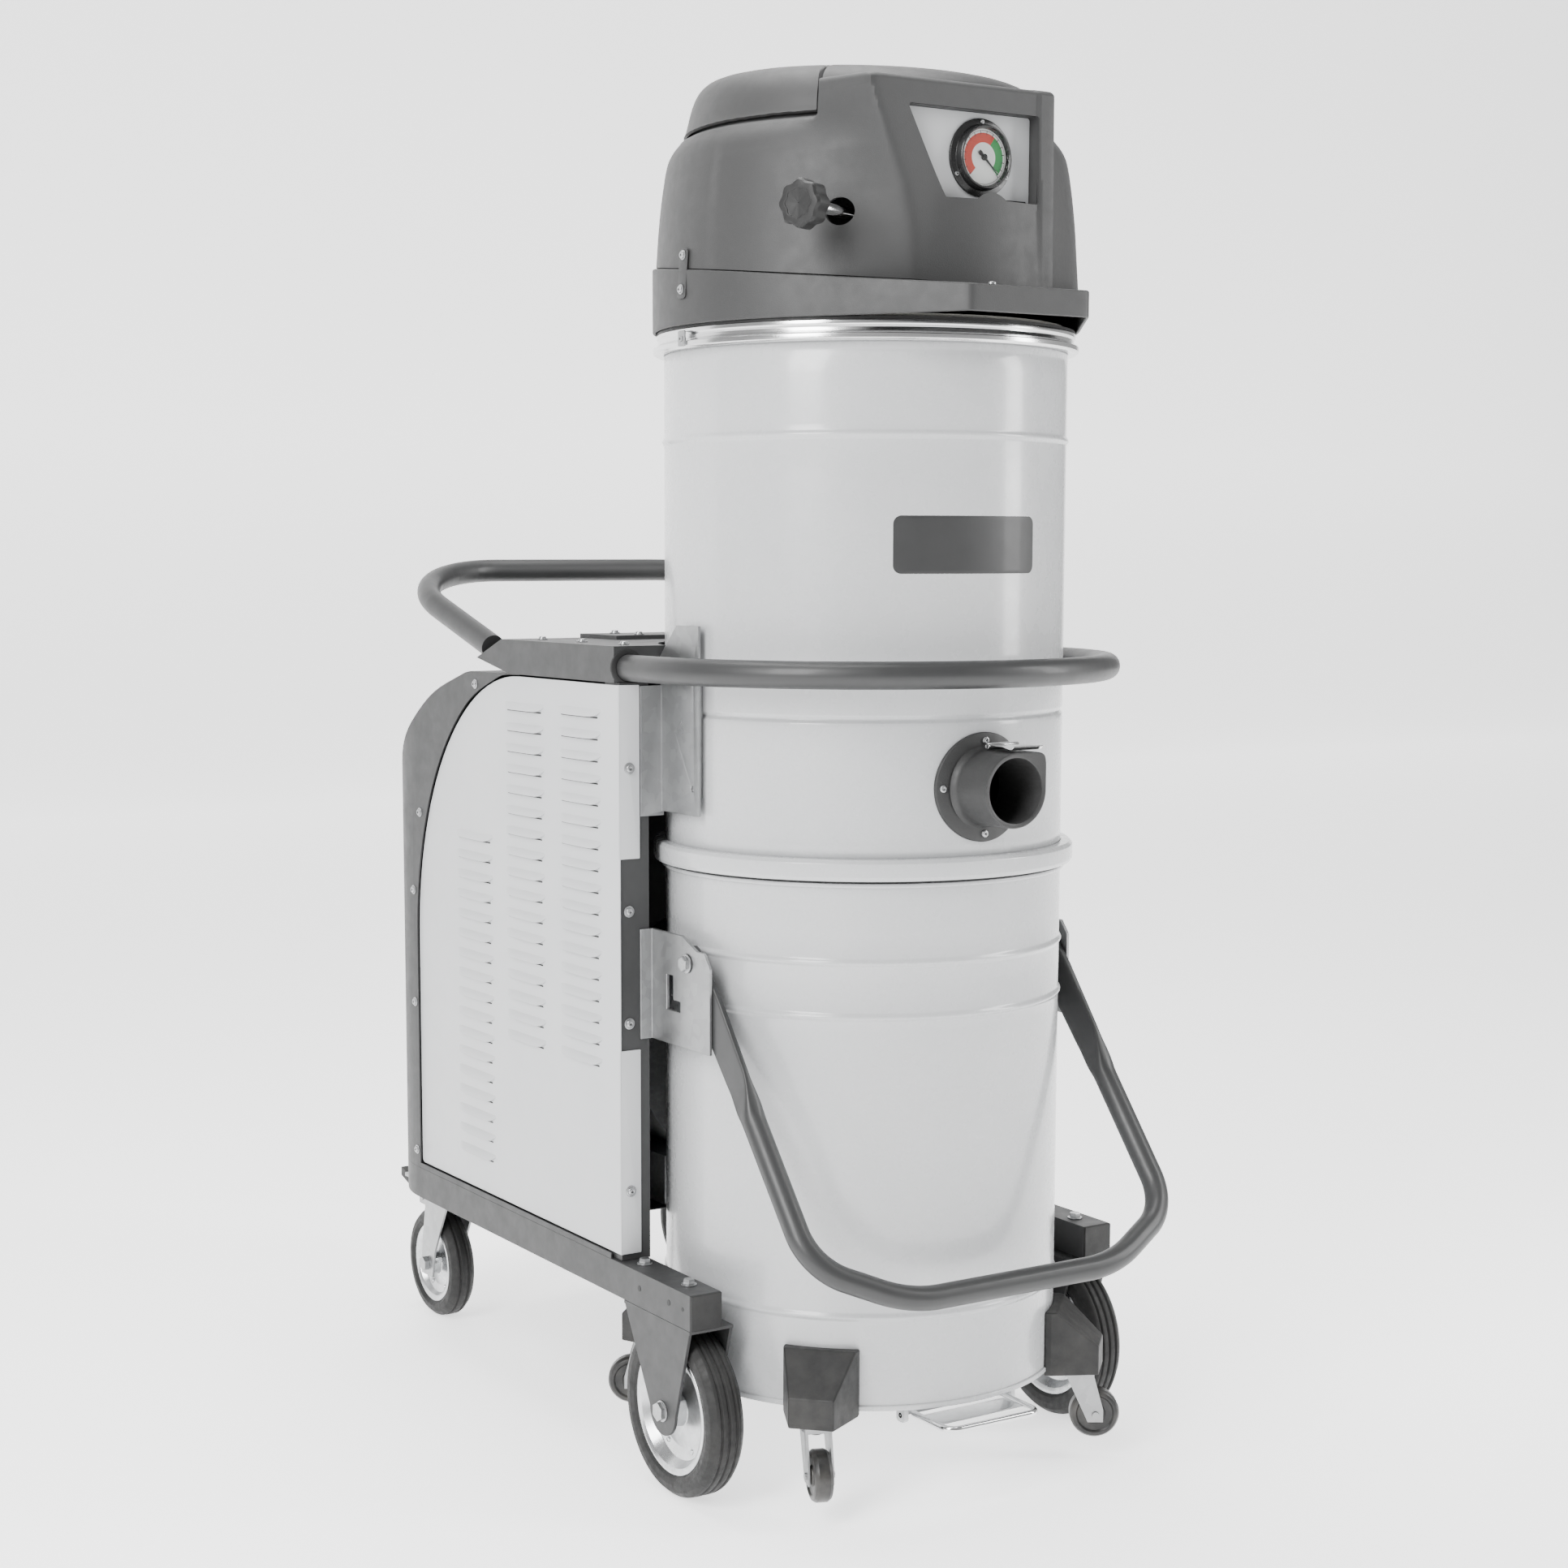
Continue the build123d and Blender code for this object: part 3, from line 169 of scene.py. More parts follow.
def spun(profile, place, direction=(0, 0, 1), count=64, lobes=None, closed=True, caps=False):
    """Profile of (radius, height) turned about an axis. lobes multiplies the radius at each angle."""
    profile = np.asarray(profile, float)
    first, second, along = axes_for(direction)
    turn = np.linspace(0, 2 * pi, count, endpoint=False)
    scale = np.ones(count) if lobes is None else lobes(turn)
    r = scale[:, None] * profile[None, :, 0]
    points = (np.asarray(place, float) + (r * np.cos(turn)[:, None])[..., None] * first
              + (r * np.sin(turn)[:, None])[..., None] * second + profile[None, :, 1, None] * along)
    return net(points, wrap_u=True, wrap_v=closed, caps=caps)


def carried(path, level, half_side, half_level, count=28, power=2.0):
    """Closed section carried along an open path in one plane.

    The section is the superellipse |s/a|^p + |l/b|^p = 1, with a and b given all along the path: s runs
    square to the path in its own plane, l along level, the plane's normal."""
    path = np.asarray(path, float)
    level = unit(level)
    tangent = unit(np.gradient(path, axis=0))
    side = unit(np.cross(level, tangent))
    n = len(path)
    a = np.broadcast_to(half_side, n)[None, :]
    b = np.broadcast_to(half_level, n)[None, :]
    p = np.broadcast_to(power, n)[None, :]
    turn = np.linspace(0, 2 * pi, count, endpoint=False)[:, None]
    s = a * np.sign(np.cos(turn)) * np.abs(np.cos(turn)) ** (2 / p)
    h = b * np.sign(np.sin(turn)) * np.abs(np.sin(turn)) ** (2 / p)
    points = path[None] + s[..., None] * side[None] + h[..., None] * level
    return net(points, wrap_u=True, caps=True)


def slab(outline, thickness, edge, lay):
    """Flat plate with rounded edges: outline (u, v), counter-clockwise, and w from 0 to thickness.

    Each row is the outline moved in along its corner normals. lay turns (u, v, w) into a place."""
    o = np.asarray(outline, float)
    ahead, behind = unit(np.roll(o, -1, 0) - o + 1e-9), unit(o - np.roll(o, 1, 0) + 1e-9)
    normal = unit(np.stack([-(ahead + behind)[:, 1], (ahead + behind)[:, 0]], 1))
    normal = normal / np.maximum((normal * np.stack([-ahead[:, 1], ahead[:, 0]], 1)).sum(1), 0.5)[:, None]
    turn = np.linspace(0, pi / 2, 4)
    inset = np.concatenate([edge * (1 - np.sin(turn)), edge * (1 - np.cos(turn))])
    height = np.concatenate([edge * (1 - np.cos(turn)), thickness - edge * (1 - np.sin(turn))])
    flat = o[:, None] + normal[:, None] * inset[None, :, None]
    w = np.broadcast_to(height, flat.shape[:2])
    return net(lay(flat[..., 0], flat[..., 1], w), wrap_u=True, caps=True)


def facing_x(x, sign=1):
    """Lays (u, v, w) as y, z and outwards from a side plane."""
    return lambda u, v, w: np.stack([x + sign * w, u, v], -1)


def facing_front(y):
    """Lays (u, v, w) as x, z and towards the front."""
    return lambda u, v, w: np.stack([u, y - w, v], -1)


def facing_up(z):
    """Lays (u, v, w) as x, y and up."""
    return lambda u, v, w: np.stack([u, v, z + w], -1)


def box_outline(u0, v0, u1, v1, corner, steps=5):
    """Rectangle with rounded corners."""
    return rounded([(u0, v0), (u1, v0), (u1, v1), (u0, v1)], corner, steps)


def flipped(part):
    """The same part on the machine's other side."""
    points, faces = part
    return points * np.array([-1.0, 1.0, 1.0]), faces


def both_sides(*parts):
    return gathered(*parts, *[flipped(p) for p in parts])


def mesh_of(name, part, clean=True):
    """Mesh of a part given in millimetres from the drum's axis, its faces turned outwards."""
    points, faces = part
    mesh = bpy.data.meshes.new(name)
    mesh.from_pydata((points + np.array([0.0, AXIS_Y, 0.0])) * MM, [], faces)
    work = bmesh.new()
    work.from_mesh(mesh)
    if clean:
        bmesh.ops.remove_doubles(work, verts=work.verts, dist=2e-6)
        bmesh.ops.dissolve_degenerate(work, edges=work.edges, dist=1e-6)
    bmesh.ops.recalc_face_normals(work, faces=work.faces)
    work.to_mesh(mesh)
    work.free()
    return mesh


def placed(name, mesh):
    """A new object for a mesh, linked into the scene."""
    thing = bpy.data.objects.new(name, mesh)
    bpy.context.scene.collection.objects.link(thing)
    return thing


def piece(name, part, material, body, replaced=(), sharp=SHARP, wall=0.0, bevel=0.0):
    """Puts a part into the scene as one piece on a body, in the place of the replaced nodes."""
    mesh = mesh_of(name, part)
    mesh.shade_smooth()
    mesh.set_sharp_from_angle(angle=radians(sharp))
    thing = placed(name, mesh)
    mesh.materials.append(material)
    if wall:
        shell = thing.modifiers.new("wall", "SOLIDIFY")
        shell.thickness = wall * MM
        shell.offset = -1
    if bevel:
        soften(thing, bevel)
    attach(thing, body)
    if replaced:
        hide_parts(*replaced)
    return thing


def soften(thing, width):
    """Rounds a thing's hard edges by a live bevel."""
    edge = thing.modifiers.new("edges", "BEVEL")
    edge.width = width * MM
    edge.segments = 2
    edge.limit_method = "ANGLE"
    edge.angle_limit = radians(SHARP + 2)
    edge.harden_normals = True


def dressed(node, material, width):
    """A merged copy of a CAD node with its corners softened, shown in the node's place."""
    source = nodes[node]
    mesh = source.data.copy()
    work = bmesh.new()
    work.from_mesh(mesh)
    bmesh.ops.remove_doubles(work, verts=work.verts, dist=5e-6)
    bmesh.ops.dissolve_limit(work, angle_limit=radians(1.0), verts=work.verts, edges=work.edges)
    work.to_mesh(mesh)
    work.free()
    mesh.materials.clear()
    mesh.materials.append(material)
    mesh.shade_smooth()
    mesh.set_sharp_from_angle(angle=radians(SHARP))
    thing = placed(node + "_finished", mesh)
    soften(thing, width)
    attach(thing, source["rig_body"])
    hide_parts(node)
    return thing


def carve(thing, *cutters):
    """Cuts closed parts out of a piece and keeps the result as its mesh."""
    for number, part in enumerate(cutters):
        tool = placed(f"cutter_{number}", mesh_of("cutter", part, clean=False))
        cut = thing.modifiers.new(f"cut_{number}", "BOOLEAN")
        cut.operation = "DIFFERENCE"
        cut.solver = "EXACT"
        cut.object = tool
    bpy.context.view_layer.update()
    ready = thing.evaluated_get(bpy.context.evaluated_depsgraph_get())
    result = bpy.data.meshes.new_from_object(ready)
    thing.modifiers.clear()
    thing.data = result
    result.set_sharp_from_angle(angle=radians(SHARP))
    for tool in [o for o in bpy.data.objects if o.name.startswith("cutter_")]:
        bpy.data.objects.remove(tool)


# ---------------------------------------------------------------- finishes

def effect(name, inputs, outputs, build):
    """One shared node group. build gets the group's nodes, a linker, and its input and output sockets."""
    group = bpy.data.node_groups.new(name, "ShaderNodeTree")
    for label, kind, value in inputs:
        socket = group.interface.new_socket(label, in_out="INPUT", socket_type=kind)
        socket.default_value = value
    for label, kind in outputs:
        group.interface.new_socket(label, in_out="OUTPUT", socket_type=kind)
    source = group.nodes.new("NodeGroupInput")
    target = group.nodes.new("NodeGroupOutput")
    build(group.nodes, group.links.new, source.outputs, target.inputs)
    return group


def noise(make, link, vector, scale, detail=3.0, rough=0.5):
    node = make.new("ShaderNodeTexNoise")
    node.inputs["Detail"].default_value = detail
    node.inputs["Roughness"].default_value = rough
    link(vector, node.inputs["Vector"])
    if isinstance(scale, (int, float)):
        node.inputs["Scale"].default_value = scale
    else:
        link(scale, node.inputs["Scale"])
    return node.outputs["Fac"]


def math_node(make, link, operation, a, b=None, clamp=False):
    node = make.new("ShaderNodeMath")
    node.operation = operation
    node.use_clamp = clamp
    for socket, value in zip(node.inputs, (a, b)):
        if value is None:
            continue
        if isinstance(value, (int, float)):
            socket.default_value = value
        else:
            link(value, socket)
    return node.outputs[0]


def ramp(make, link, value, low, high, out_low=0.0, out_high=1.0):
    node = make.new("ShaderNodeMapRange")
    node.inputs["From Min"].default_value = low
    node.inputs["From Max"].default_value = high
    for label, number in (("To Min", out_low), ("To Max", out_high)):
        if isinstance(number, (int, float)):
            node.inputs[label].default_value = number
        else:
            link(number, node.inputs[label])
    link(value, node.inputs["Value"])
    return node.outputs["Result"]


def mixed(make, link, factor, a, b):
    node = make.new("ShaderNodeMix")
    node.data_type = "RGBA"
    for socket, value in ((node.inputs["Factor"], factor), (node.inputs["A"], a), (node.inputs["B"], b)):
        if isinstance(value, (int, float)):
            socket.default_value = value
        elif isinstance(value, tuple):
            socket.default_value = value
        else:
            link(value, socket)
    return node.outputs["Result"]


def build_breakup(make, link, given, put):
    """Two sizes of soft noise: a broad tone drift, and small patches where the gloss differs."""
    broad = noise(make, link, given["Vector"], given["Scale"], 3, 0.55)
    small = noise(make, link, given["Vector"],
                  math_node(make, link, "MULTIPLY", given["Scale"], 9.0), 4, 0.6)
    link(ramp(make, link, broad, 0.3, 0.7), put["Tone"])
    link(ramp(make, link, small, 0.32, 0.7), put["Patches"])


def build_peel(make, link, given, put):
    """Sprayed coat: rounded dimples about two millimetres across over a slower wave."""
    fine = noise(make, link, given["Vector"], given["Scale"], 1, 0.4)
    slow = noise(make, link, given["Vector"],
                 math_node(make, link, "MULTIPLY", given["Scale"], 0.22), 1, 0.4)
    link(math_node(make, link, "ADD", fine, math_node(make, link, "MULTIPLY", slow, 0.8)), put["Height"])


def build_grain(make, link, given, put):
    """Moulded grain: small cells with soft walls, broken up by noise."""
    cells = make.new("ShaderNodeTexVoronoi")
    cells.feature = "SMOOTH_F1"
    link(given["Vector"], cells.inputs["Vector"])
    link(given["Scale"], cells.inputs["Scale"])
    speck = noise(make, link, given["Vector"],
                  math_node(make, link, "MULTIPLY", given["Scale"], 2.3), 2, 0.5)
    link(math_node(make, link, "ADD", cells.outputs["Distance"],
                   math_node(make, link, "MULTIPLY", speck, 0.5)), put["Height"])


def build_brushed(make, link, given, put):
    """Long thin streaks: noise squeezed along one axis by the Stretch vector."""
    squeeze = make.new("ShaderNodeVectorMath")
    squeeze.operation = "MULTIPLY"
    link(given["Vector"], squeeze.inputs[0])
    link(given["Stretch"], squeeze.inputs[1])
    streak = noise(make, link, squeeze.outputs[0], given["Scale"], 4, 0.65)
    link(ramp(make, link, streak, 0.3, 0.72), put["Streaks"])


DUST_HEIGHT = 0.32


def build_floor_dust(make, link, given, put):
    """Dust that thins out with height, thicker where the noise is high."""
    split = make.new("ShaderNodeSeparateXYZ")
    link(given["Vector"], split.inputs[0])
    height = ramp(make, link, split.outputs["Z"], 0.0, DUST_HEIGHT, 1.0, 0.0)
    cloud = ramp(make, link, noise(make, link, given["Vector"], 22.0, 5, 0.6), 0.42, 0.75)
    link(math_node(make, link, "MULTIPLY", height, cloud), put["Mask"])


def build_spangle(make, link, given, put):
    """Zinc crystals: flat cells, each its own grey."""
    cells = make.new("ShaderNodeTexVoronoi")
    link(given["Vector"], cells.inputs["Vector"])
    link(given["Scale"], cells.inputs["Scale"])
    grey = make.new("ShaderNodeSeparateColor")
    link(cells.outputs["Color"], grey.inputs[0])
    link(grey.outputs[0], put["Tone"])


VECTOR = ("Vector", "NodeSocketVector", (0.0, 0.0, 0.0))
FLOAT = "NodeSocketFloat"
breakup = effect("surface_breakup", [VECTOR, ("Scale", FLOAT, 6.0)],
                 [("Tone", FLOAT), ("Patches", FLOAT)], build_breakup)
peel = effect("sprayed_peel", [VECTOR, ("Scale", FLOAT, 420.0)], [("Height", FLOAT)], build_peel)
grain = effect("moulded_grain", [VECTOR, ("Scale", FLOAT, 900.0)], [("Height", FLOAT)], build_grain)
brushed = effect("brushed_streaks", [VECTOR, ("Scale", FLOAT, 60.0),
                                     ("Stretch", "NodeSocketVector", (1.0, 1.0, 1.0))],
                 [("Streaks", FLOAT)], build_brushed)
floor_dust = effect("floor_dust", [VECTOR], [("Mask", FLOAT)], build_floor_dust)
spangle = effect("zinc_spangle", [VECTOR, ("Scale", FLOAT, 90.0)], [("Tone", FLOAT)], build_spangle)


def grey(value, tint=0.0):
    """An almost neutral colour, a little cooler with tint."""
    return (value * (1 - tint), value, value * (1 + tint), 1.0)


class Finish:
    """A material with one Principled shader, read in the object's own coordinates."""

    def __init__(self, name, colour, metallic=0.0, **sockets):
        self.material = bpy.data.materials.new(name)
        self.material.use_nodes = True
        tree = self.material.node_tree
        self.make = tree.nodes
        self.link = tree.links.new
        self.shader = self.make["Principled BSDF"]
        self.shader.inputs["Metallic"].default_value = metallic
        for label, value in sockets.items():
            self.shader.inputs[label.replace("_", " ")].default_value = value
        self.base = colour
        place = self.make.new("ShaderNodeTexCoord")
        self.vector = place.outputs["Object"]

    def group(self, shared, **values):
        node = self.make.new("ShaderNodeGroup")
        node.node_tree = shared
        self.link(self.vector, node.inputs["Vector"])
        for label, value in values.items():
            node.inputs[label].default_value = value
        return node.outputs

    def colour_over(self, mask, colour, low=0.0, high=1.0):
        """Mixes another colour over the base where the mask is high."""
        strength = ramp(self.make, self.link, mask, 0.0, 1.0, low, high)
        self.base = mixed(self.make, self.link, strength, self.base, colour)
        self.link(self.base, self.shader.inputs["Base Color"])

    def dusty(self, most, colour=(0.30, 0.28, 0.25, 1.0)):
        """Dust over the base near the floor."""
        self.colour_over(self.group(floor_dust)["Mask"], colour, 0.0, most)

    def gloss(self, mask, low, high):
        self.link(ramp(self.make, self.link, mask, 0.0, 1.0, low, high), self.shader.inputs["Roughness"])

    def relief(self, height, strength, distance):
        bump = self.make.new("ShaderNodeBump")
        bump.inputs["Strength"].default_value = strength
        bump.inputs["Distance"].default_value = distance
        self.link(height, bump.inputs["Height"])
        self.link(bump.outputs["Normal"], self.shader.inputs["Normal"])


def painted(name, value, rough_low, rough_high, coat, drift=0.06, peel_strength=0.1):
    """Powder coat: dimpled, a little uneven in tone and gloss, with faint dust near the floor."""
    f = Finish(name, grey(value, 0.012), Coat_Weight=coat, Coat_Roughness=0.12)
    f.shader.inputs["IOR"].default_value = 1.5
    marks = f.group(breakup, Scale=5.0)
    f.colour_over(marks["Tone"], grey(value * (1 - drift), 0.02))
    f.dusty(0.035)
    f.gloss(marks["Patches"], rough_low, rough_high)
    f.relief(f.group(peel, Scale=430.0)["Height"], peel_strength, 0.0004)
    return f.material


def moulded(name, value, rough_low, rough_high, grain_scale=900.0, strength=0.22, dust=0.05):
    """Plastic moulding: fine grain, slight drift of tone, a dull bloom in patches."""
    f = Finish(name, grey(value, 0.01), IOR=1.48)
    marks = f.group(breakup, Scale=7.0)
    f.colour_over(marks["Tone"], grey(value * 1.08, 0.0))
    f.dusty(dust)
    f.gloss(marks["Patches"], rough_low, rough_high)
    f.relief(f.group(grain, Scale=grain_scale)["Height"], strength, 0.0003)
    return f.material


def plated(name, value, rough_low, rough_high, crystals=90.0, stretch=(1.0, 1.0, 1.0)):
    """Zinc: crystals of slightly different grey, faint streaks and dull patches."""
    f = Finish(name, grey(value, 0.015), metallic=0.9)
    f.colour_over(f.group(spangle, Scale=crystals)["Tone"], grey(value * 0.72, 0.02), 0.0, 0.55)
    marks = f.group(breakup, Scale=12.0)
    f.colour_over(marks["Patches"], (0.30, 0.29, 0.27, 1.0), 0.0, 0.16)
    f.gloss(marks["Tone"], rough_low, rough_high)
    f.relief(f.group(brushed, Scale=60.0, Stretch=stretch)["Streaks"], 0.12, 0.0003)
    return f.material


def polished(name, value, rough_low, rough_high, stretch):
    """Bright steel turned or drawn, so its fine lines run one way."""
    f = Finish(name, grey(value, 0.005), metallic=1.0)
    lines = f.group(brushed, Scale=40.0, Stretch=stretch)
    f.colour_over(lines["Streaks"], grey(value * 0.8), 0.0, 0.5)
    f.gloss(lines["Streaks"], rough_low, rough_high)
    f.relief(lines["Streaks"], 0.06, 0.0002)
    return f.material


light_enamel = painted("light_enamel", 0.50, 0.22, 0.34, 0.5)
panel_enamel = painted("panel_enamel", 0.52, 0.36, 0.48, 0.2, 0.05, 0.14)
dark_enamel = painted("dark_enamel", 0.026, 0.48, 0.60, 0.04, -0.12, 0.06)
tube_enamel = painted("tube_enamel", 0.022, 0.42, 0.50, 0.08, -0.12, 0.04)
hood_plastic = moulded("hood_plastic", 0.029, 0.50, 0.58)
inlet_plastic = moulded("inlet_plastic", 0.022, 0.42, 0.58, 700.0, 0.3)
black_plastic = moulded("black_plastic", 0.005, 0.48, 0.64, 800.0, 0.2, 0.1)
nylon = moulded("black_nylon", 0.011, 0.30, 0.45, 500.0, 0.1, 0.2)
bezel_black = moulded("bezel_black", 0.010, 0.22, 0.34, 1200.0, 0.1)
zinc = plated("zinc_sheet", 0.36, 0.26, 0.44)
rim_zinc = plated("rim_zinc", 0.66, 0.2, 0.36, 140.0)
bolt_zinc = plated("bolt_zinc", 0.42, 0.22, 0.38, 400.0)
ring_steel = polished("ring_steel", 0.78, 0.12, 0.26, (1.0, 1.0, 60.0))
wire_chrome = polished("wire_chrome", 0.80, 0.08, 0.2, (1.0, 1.0, 8.0))
panel_sheet = painted("panel_sheet", 0.46, 0.38, 0.5, 0.1, 0.04, 0.08)
cast_metal = plated("cast_metal", 0.42, 0.4, 0.6, 260.0)


def rubber_finish():
    """Tyre rubber: matt black with a grey bloom, mould grain and dust on the tread."""
    f = Finish("tyre_rubber", grey(0.007), Specular_IOR_Level=0.4)
    marks = f.group(breakup, Scale=14.0)
    f.colour_over(marks["Tone"], (0.011, 0.0108, 0.0105, 1.0))
    f.dusty(0.05, (0.20, 0.19, 0.17, 1.0))
    f.gloss(marks["Patches"], 0.5, 0.72)
    f.relief(f.group(grain, Scale=620.0)["Height"], 0.3, 0.0003)
    return f.material


def cloth_finish():
    """Filter cloth: crossed threads as two sets of waves."""
    f = Finish("filter_cloth", (0.70, 0.69, 0.65, 1.0), Roughness=0.9, Sheen_Weight=0.3)
    waves = []
    for direction in ("Z", "DIAGONAL"):
        wave = f.make.new("ShaderNodeTexWave")
        wave.bands_direction = direction
        wave.inputs["Scale"].default_value = 220.0
        wave.inputs["Distortion"].default_value = 1.5
        f.link(f.vector, wave.inputs["Vector"])
        waves.append(wave.outputs["Fac"])
    weave = math_node(f.make, f.link, "MAXIMUM", *waves)
    f.colour_over(weave, (0.55, 0.54, 0.50, 1.0), 0.0, 0.6)
    f.relief(weave, 0.3, 0.0004)
    return f.material


def dial_finish(centre_z):
    """Printed dial: coloured arcs and graduation marks, by angle and distance from the middle."""
    f = Finish("dial_print", (0.82, 0.82, 0.80, 1.0), Roughness=0.45)
    make, link = f.make, f.link
    split = make.new("ShaderNodeSeparateXYZ")
    link(f.vector, split.inputs[0])
    x = split.outputs["X"]
    z = math_node(make, link, "SUBTRACT", split.outputs["Z"], centre_z * MM)
    squares = math_node(make, link, "ADD", math_node(make, link, "MULTIPLY", x, x),
                        math_node(make, link, "MULTIPLY", z, z))
    radius = math_node(make, link, "DIVIDE", math_node(make, link, "SQRT", squares), MM)
    # Angle in degrees, clockwise from straight down, so the scale runs from 45 to 315.
    turn = math_node(make, link, "ARCTAN2", x, z)
    angle = math_node(make, link, "ADD", math_node(make, link, "MULTIPLY", turn, 180 / pi), 180.0)

    def between(value, low, high):
        over = math_node(make, link, "GREATER_THAN", value, low)
        under = math_node(make, link, "LESS_THAN", value, high)
        return math_node(make, link, "MULTIPLY", over, under)

    def paint(mask, colour):
        f.colour_over(mask, colour, 0.0, 1.0)

    band = between(radius, 15.5, 25.5)
    for low, high, colour in ((42.0, 214.0, (0.62, 0.055, 0.03, 1.0)),
                              (214.0, 314.0, (0.03, 0.30, 0.07, 1.0))):
        paint(math_node(make, link, "MULTIPLY", band, between(angle, low, high)), colour)
    step = 18.0
    phase = math_node(make, link, "PINGPONG", math_node(make, link, "SUBTRACT", angle, 45.0), step / 2)
    tick = math_node(make, link, "LESS_THAN", phase, 0.9)
    marks = math_node(make, link, "MULTIPLY", tick, between(radius, 23.6, 27.6))
    paint(math_node(make, link, "MULTIPLY", marks, between(angle, 43.0, 317.0)), (0.02, 0.02, 0.02, 1.0))
    paint(between(radius, 27.6, 28.1), (0.10, 0.10, 0.10, 1.0))
    f.gloss(f.group(breakup, Scale=40.0)["Patches"], 0.40, 0.52)
    return f.material


def lens_finish():
    """Clear cover: thin glass with faint smears in its gloss."""
    f = Finish("clear_lens", (0.97, 0.98, 0.98, 1.0), Transmission_Weight=1.0, IOR=1.45)
    f.shader.inputs["Base Color"].default_value = f.base
    f.gloss(f.group(breakup, Scale=30.0)["Patches"], 0.01, 0.05)
    return f.material


rubber = rubber_finish()
filter_cloth = cloth_finish()
lens_glass = lens_finish()


# ---------------------------------------------------------------- small fittings

def button_screw(place, direction, radius, washer=0.0):
    """Domed screw with a six-sided socket, on a washer if one is given."""
    place = np.asarray(place, float)
    along = unit(direction)
    parts = []
    if washer:
        ring = rounded([(radius * 0.4, 0), (washer, 0), (washer, 1.3), (radius * 0.4, 1.3)], 0.35, 3)
        parts.append(spun(ring, place, along, 28))
        place = place + along * 1.2
    turn = np.linspace(0, 1, 6)
    head = [(radius, 0)] + [(radius * (1 - 0.55 * t * t), radius * 0.62 * np.sqrt(1 - (1 - t) ** 2))
                            for t in turn]
    socket = [(radius * 0.36, radius * 0.58), (radius * 0.34, radius * 0.12), (0.0, radius * 0.1)]
    parts.append(spun(head + socket + [(0.0, 0.0)], place, along, 24))
    return gathered(*parts)


def hex_bolt(place, direction, across, height, washer=0.0):
    """Hexagon head with a chamfered top: radius a / cos of the angle from the nearest flat."""
    place = np.asarray(place, float)
    along = unit(direction)
    parts = []
    if washer:
        ring = rounded([(across * 0.3, 0), (washer, 0), (washer, 1.6), (across * 0.3, 1.6)], 0.4, 3)
        parts.append(spun(ring, place, along, 32))
        place = place + along * 1.5

    def six(turn):
        return 1 / np.cos((turn + pi / 6) % (pi / 3) - pi / 6)

    half = across / 2
    head = [(0.0, 0.0), (half, 0.0), (half, height - 1.2), (half * 0.88, height), (0.0, height)]
    parts.append(spun(head, place, along, 48, lobes=six))
    return gathered(*parts)


# ---------------------------------------------------------------- drum

WALL = 2.0
CONTAINER = (115.0, 703.0)
CHAMBER = (709.5, 1303.0)
BEAD = 2.6
INLET_Z = 805.0


def rolled_wall(low, high, beads, grooves=(), extra=()):
    """Outside of a rolled drum: R plus a raised cosine, half of d(1 + cos(pi t)), at each bead."""
    marks = [(z, BEAD, 5.6) for z in beads] + [(z, -BEAD, 5.0) for z in grooves]
    heights = [np.linspace(low, high, 12), np.array(extra, float)]
    heights += [np.linspace(z - w, z + w, 13) for z, _, w in marks]
    z = np.unique(np.round(np.concatenate(heights), 3))
    r = np.full_like(z, DRUM_R)
    for middle, depth, width in marks:
        r += depth * (1 + np.cos(pi * np.clip((z - middle) / width, -1, 1))) / 2
    return np.stack([r, z], 1)


def wall_and_back(outside):
    """Closes a wall profile with its inner side."""
    inner = outside[::-1] - np.array([WALL, 0.0])
    return np.vstack([outside, inner])


def container_shell():
    wall = wall_and_back(rolled_wall(CONTAINER[0], CONTAINER[1] - 5, (219.0, 555.0, 615.0)))
    parts = [spun(wall, (0, 0, 0), count=192)]
    floor = rounded([(0.5, 135), (228.4, 135), (228.4, 137), (0.5, 137)], 0.2, 2)
    parts.append(spun(floor, (0, 0, 0), count=96))
    hem = rounded([(229, 112.8), (232.2, 112.8), (232.2, 119), (229, 119)], 1.4, 5)
    parts.append(spun(hem, (0, 0, 0), count=192))
    rim = rounded([(228, 698), (234, 698), (234, 703), (228, 703)], 1.6, 5)
    parts.append(spun(rim, (0, 0, 0), count=192))
    lug = slab(box_outline(-203, 92, -187, 135, 5), 6, 0.6, facing_x(72))
    parts.append(both_sides(lug))
    return gathered(*parts)


def chamber_shell():
    """Outside of the chamber with the quads about the inlet's axis left out; a wall is added to it."""
    points, faces = spun(rolled_wall(*CHAMBER, (1184.0,), (880.0,), np.arange(745, 866, 5.0)), (0, 0, 0),
                         count=288, closed=False)
    middle = points[np.array(faces)].mean(1)
    hole = (np.hypot(middle[:, 0], middle[:, 2] - INLET_Z) < 47) & (middle[:, 1] < 0)
    return points, [f for f, gone in zip(faces, hole) if not gone]


def clamp_ring():
    outside = [(DRUM_R - 0.1, 730), (240.5, 729.4), (244, 725.4), (244, 710.5), (242.5, 706), (239, 706),
               (239, 724), (DRUM_R - 0.1, 726)]
    return spun(rounded(outside, 1.8, 5), (0, 0, 0), count=192)


def flange_ring():
    outside = [(DRUM_R, 1281), (239.5, 1281), (242.5, 1283.4), (242.5, 1288.5), (237.6, 1291.5),
               (236.4, 1295.5), (238.6, 1298.5), (238.6, 1303), (DRUM_R, 1303)]
    return spun(rounded(outside, 1.1, 5), (0, 0, 0), count=192)


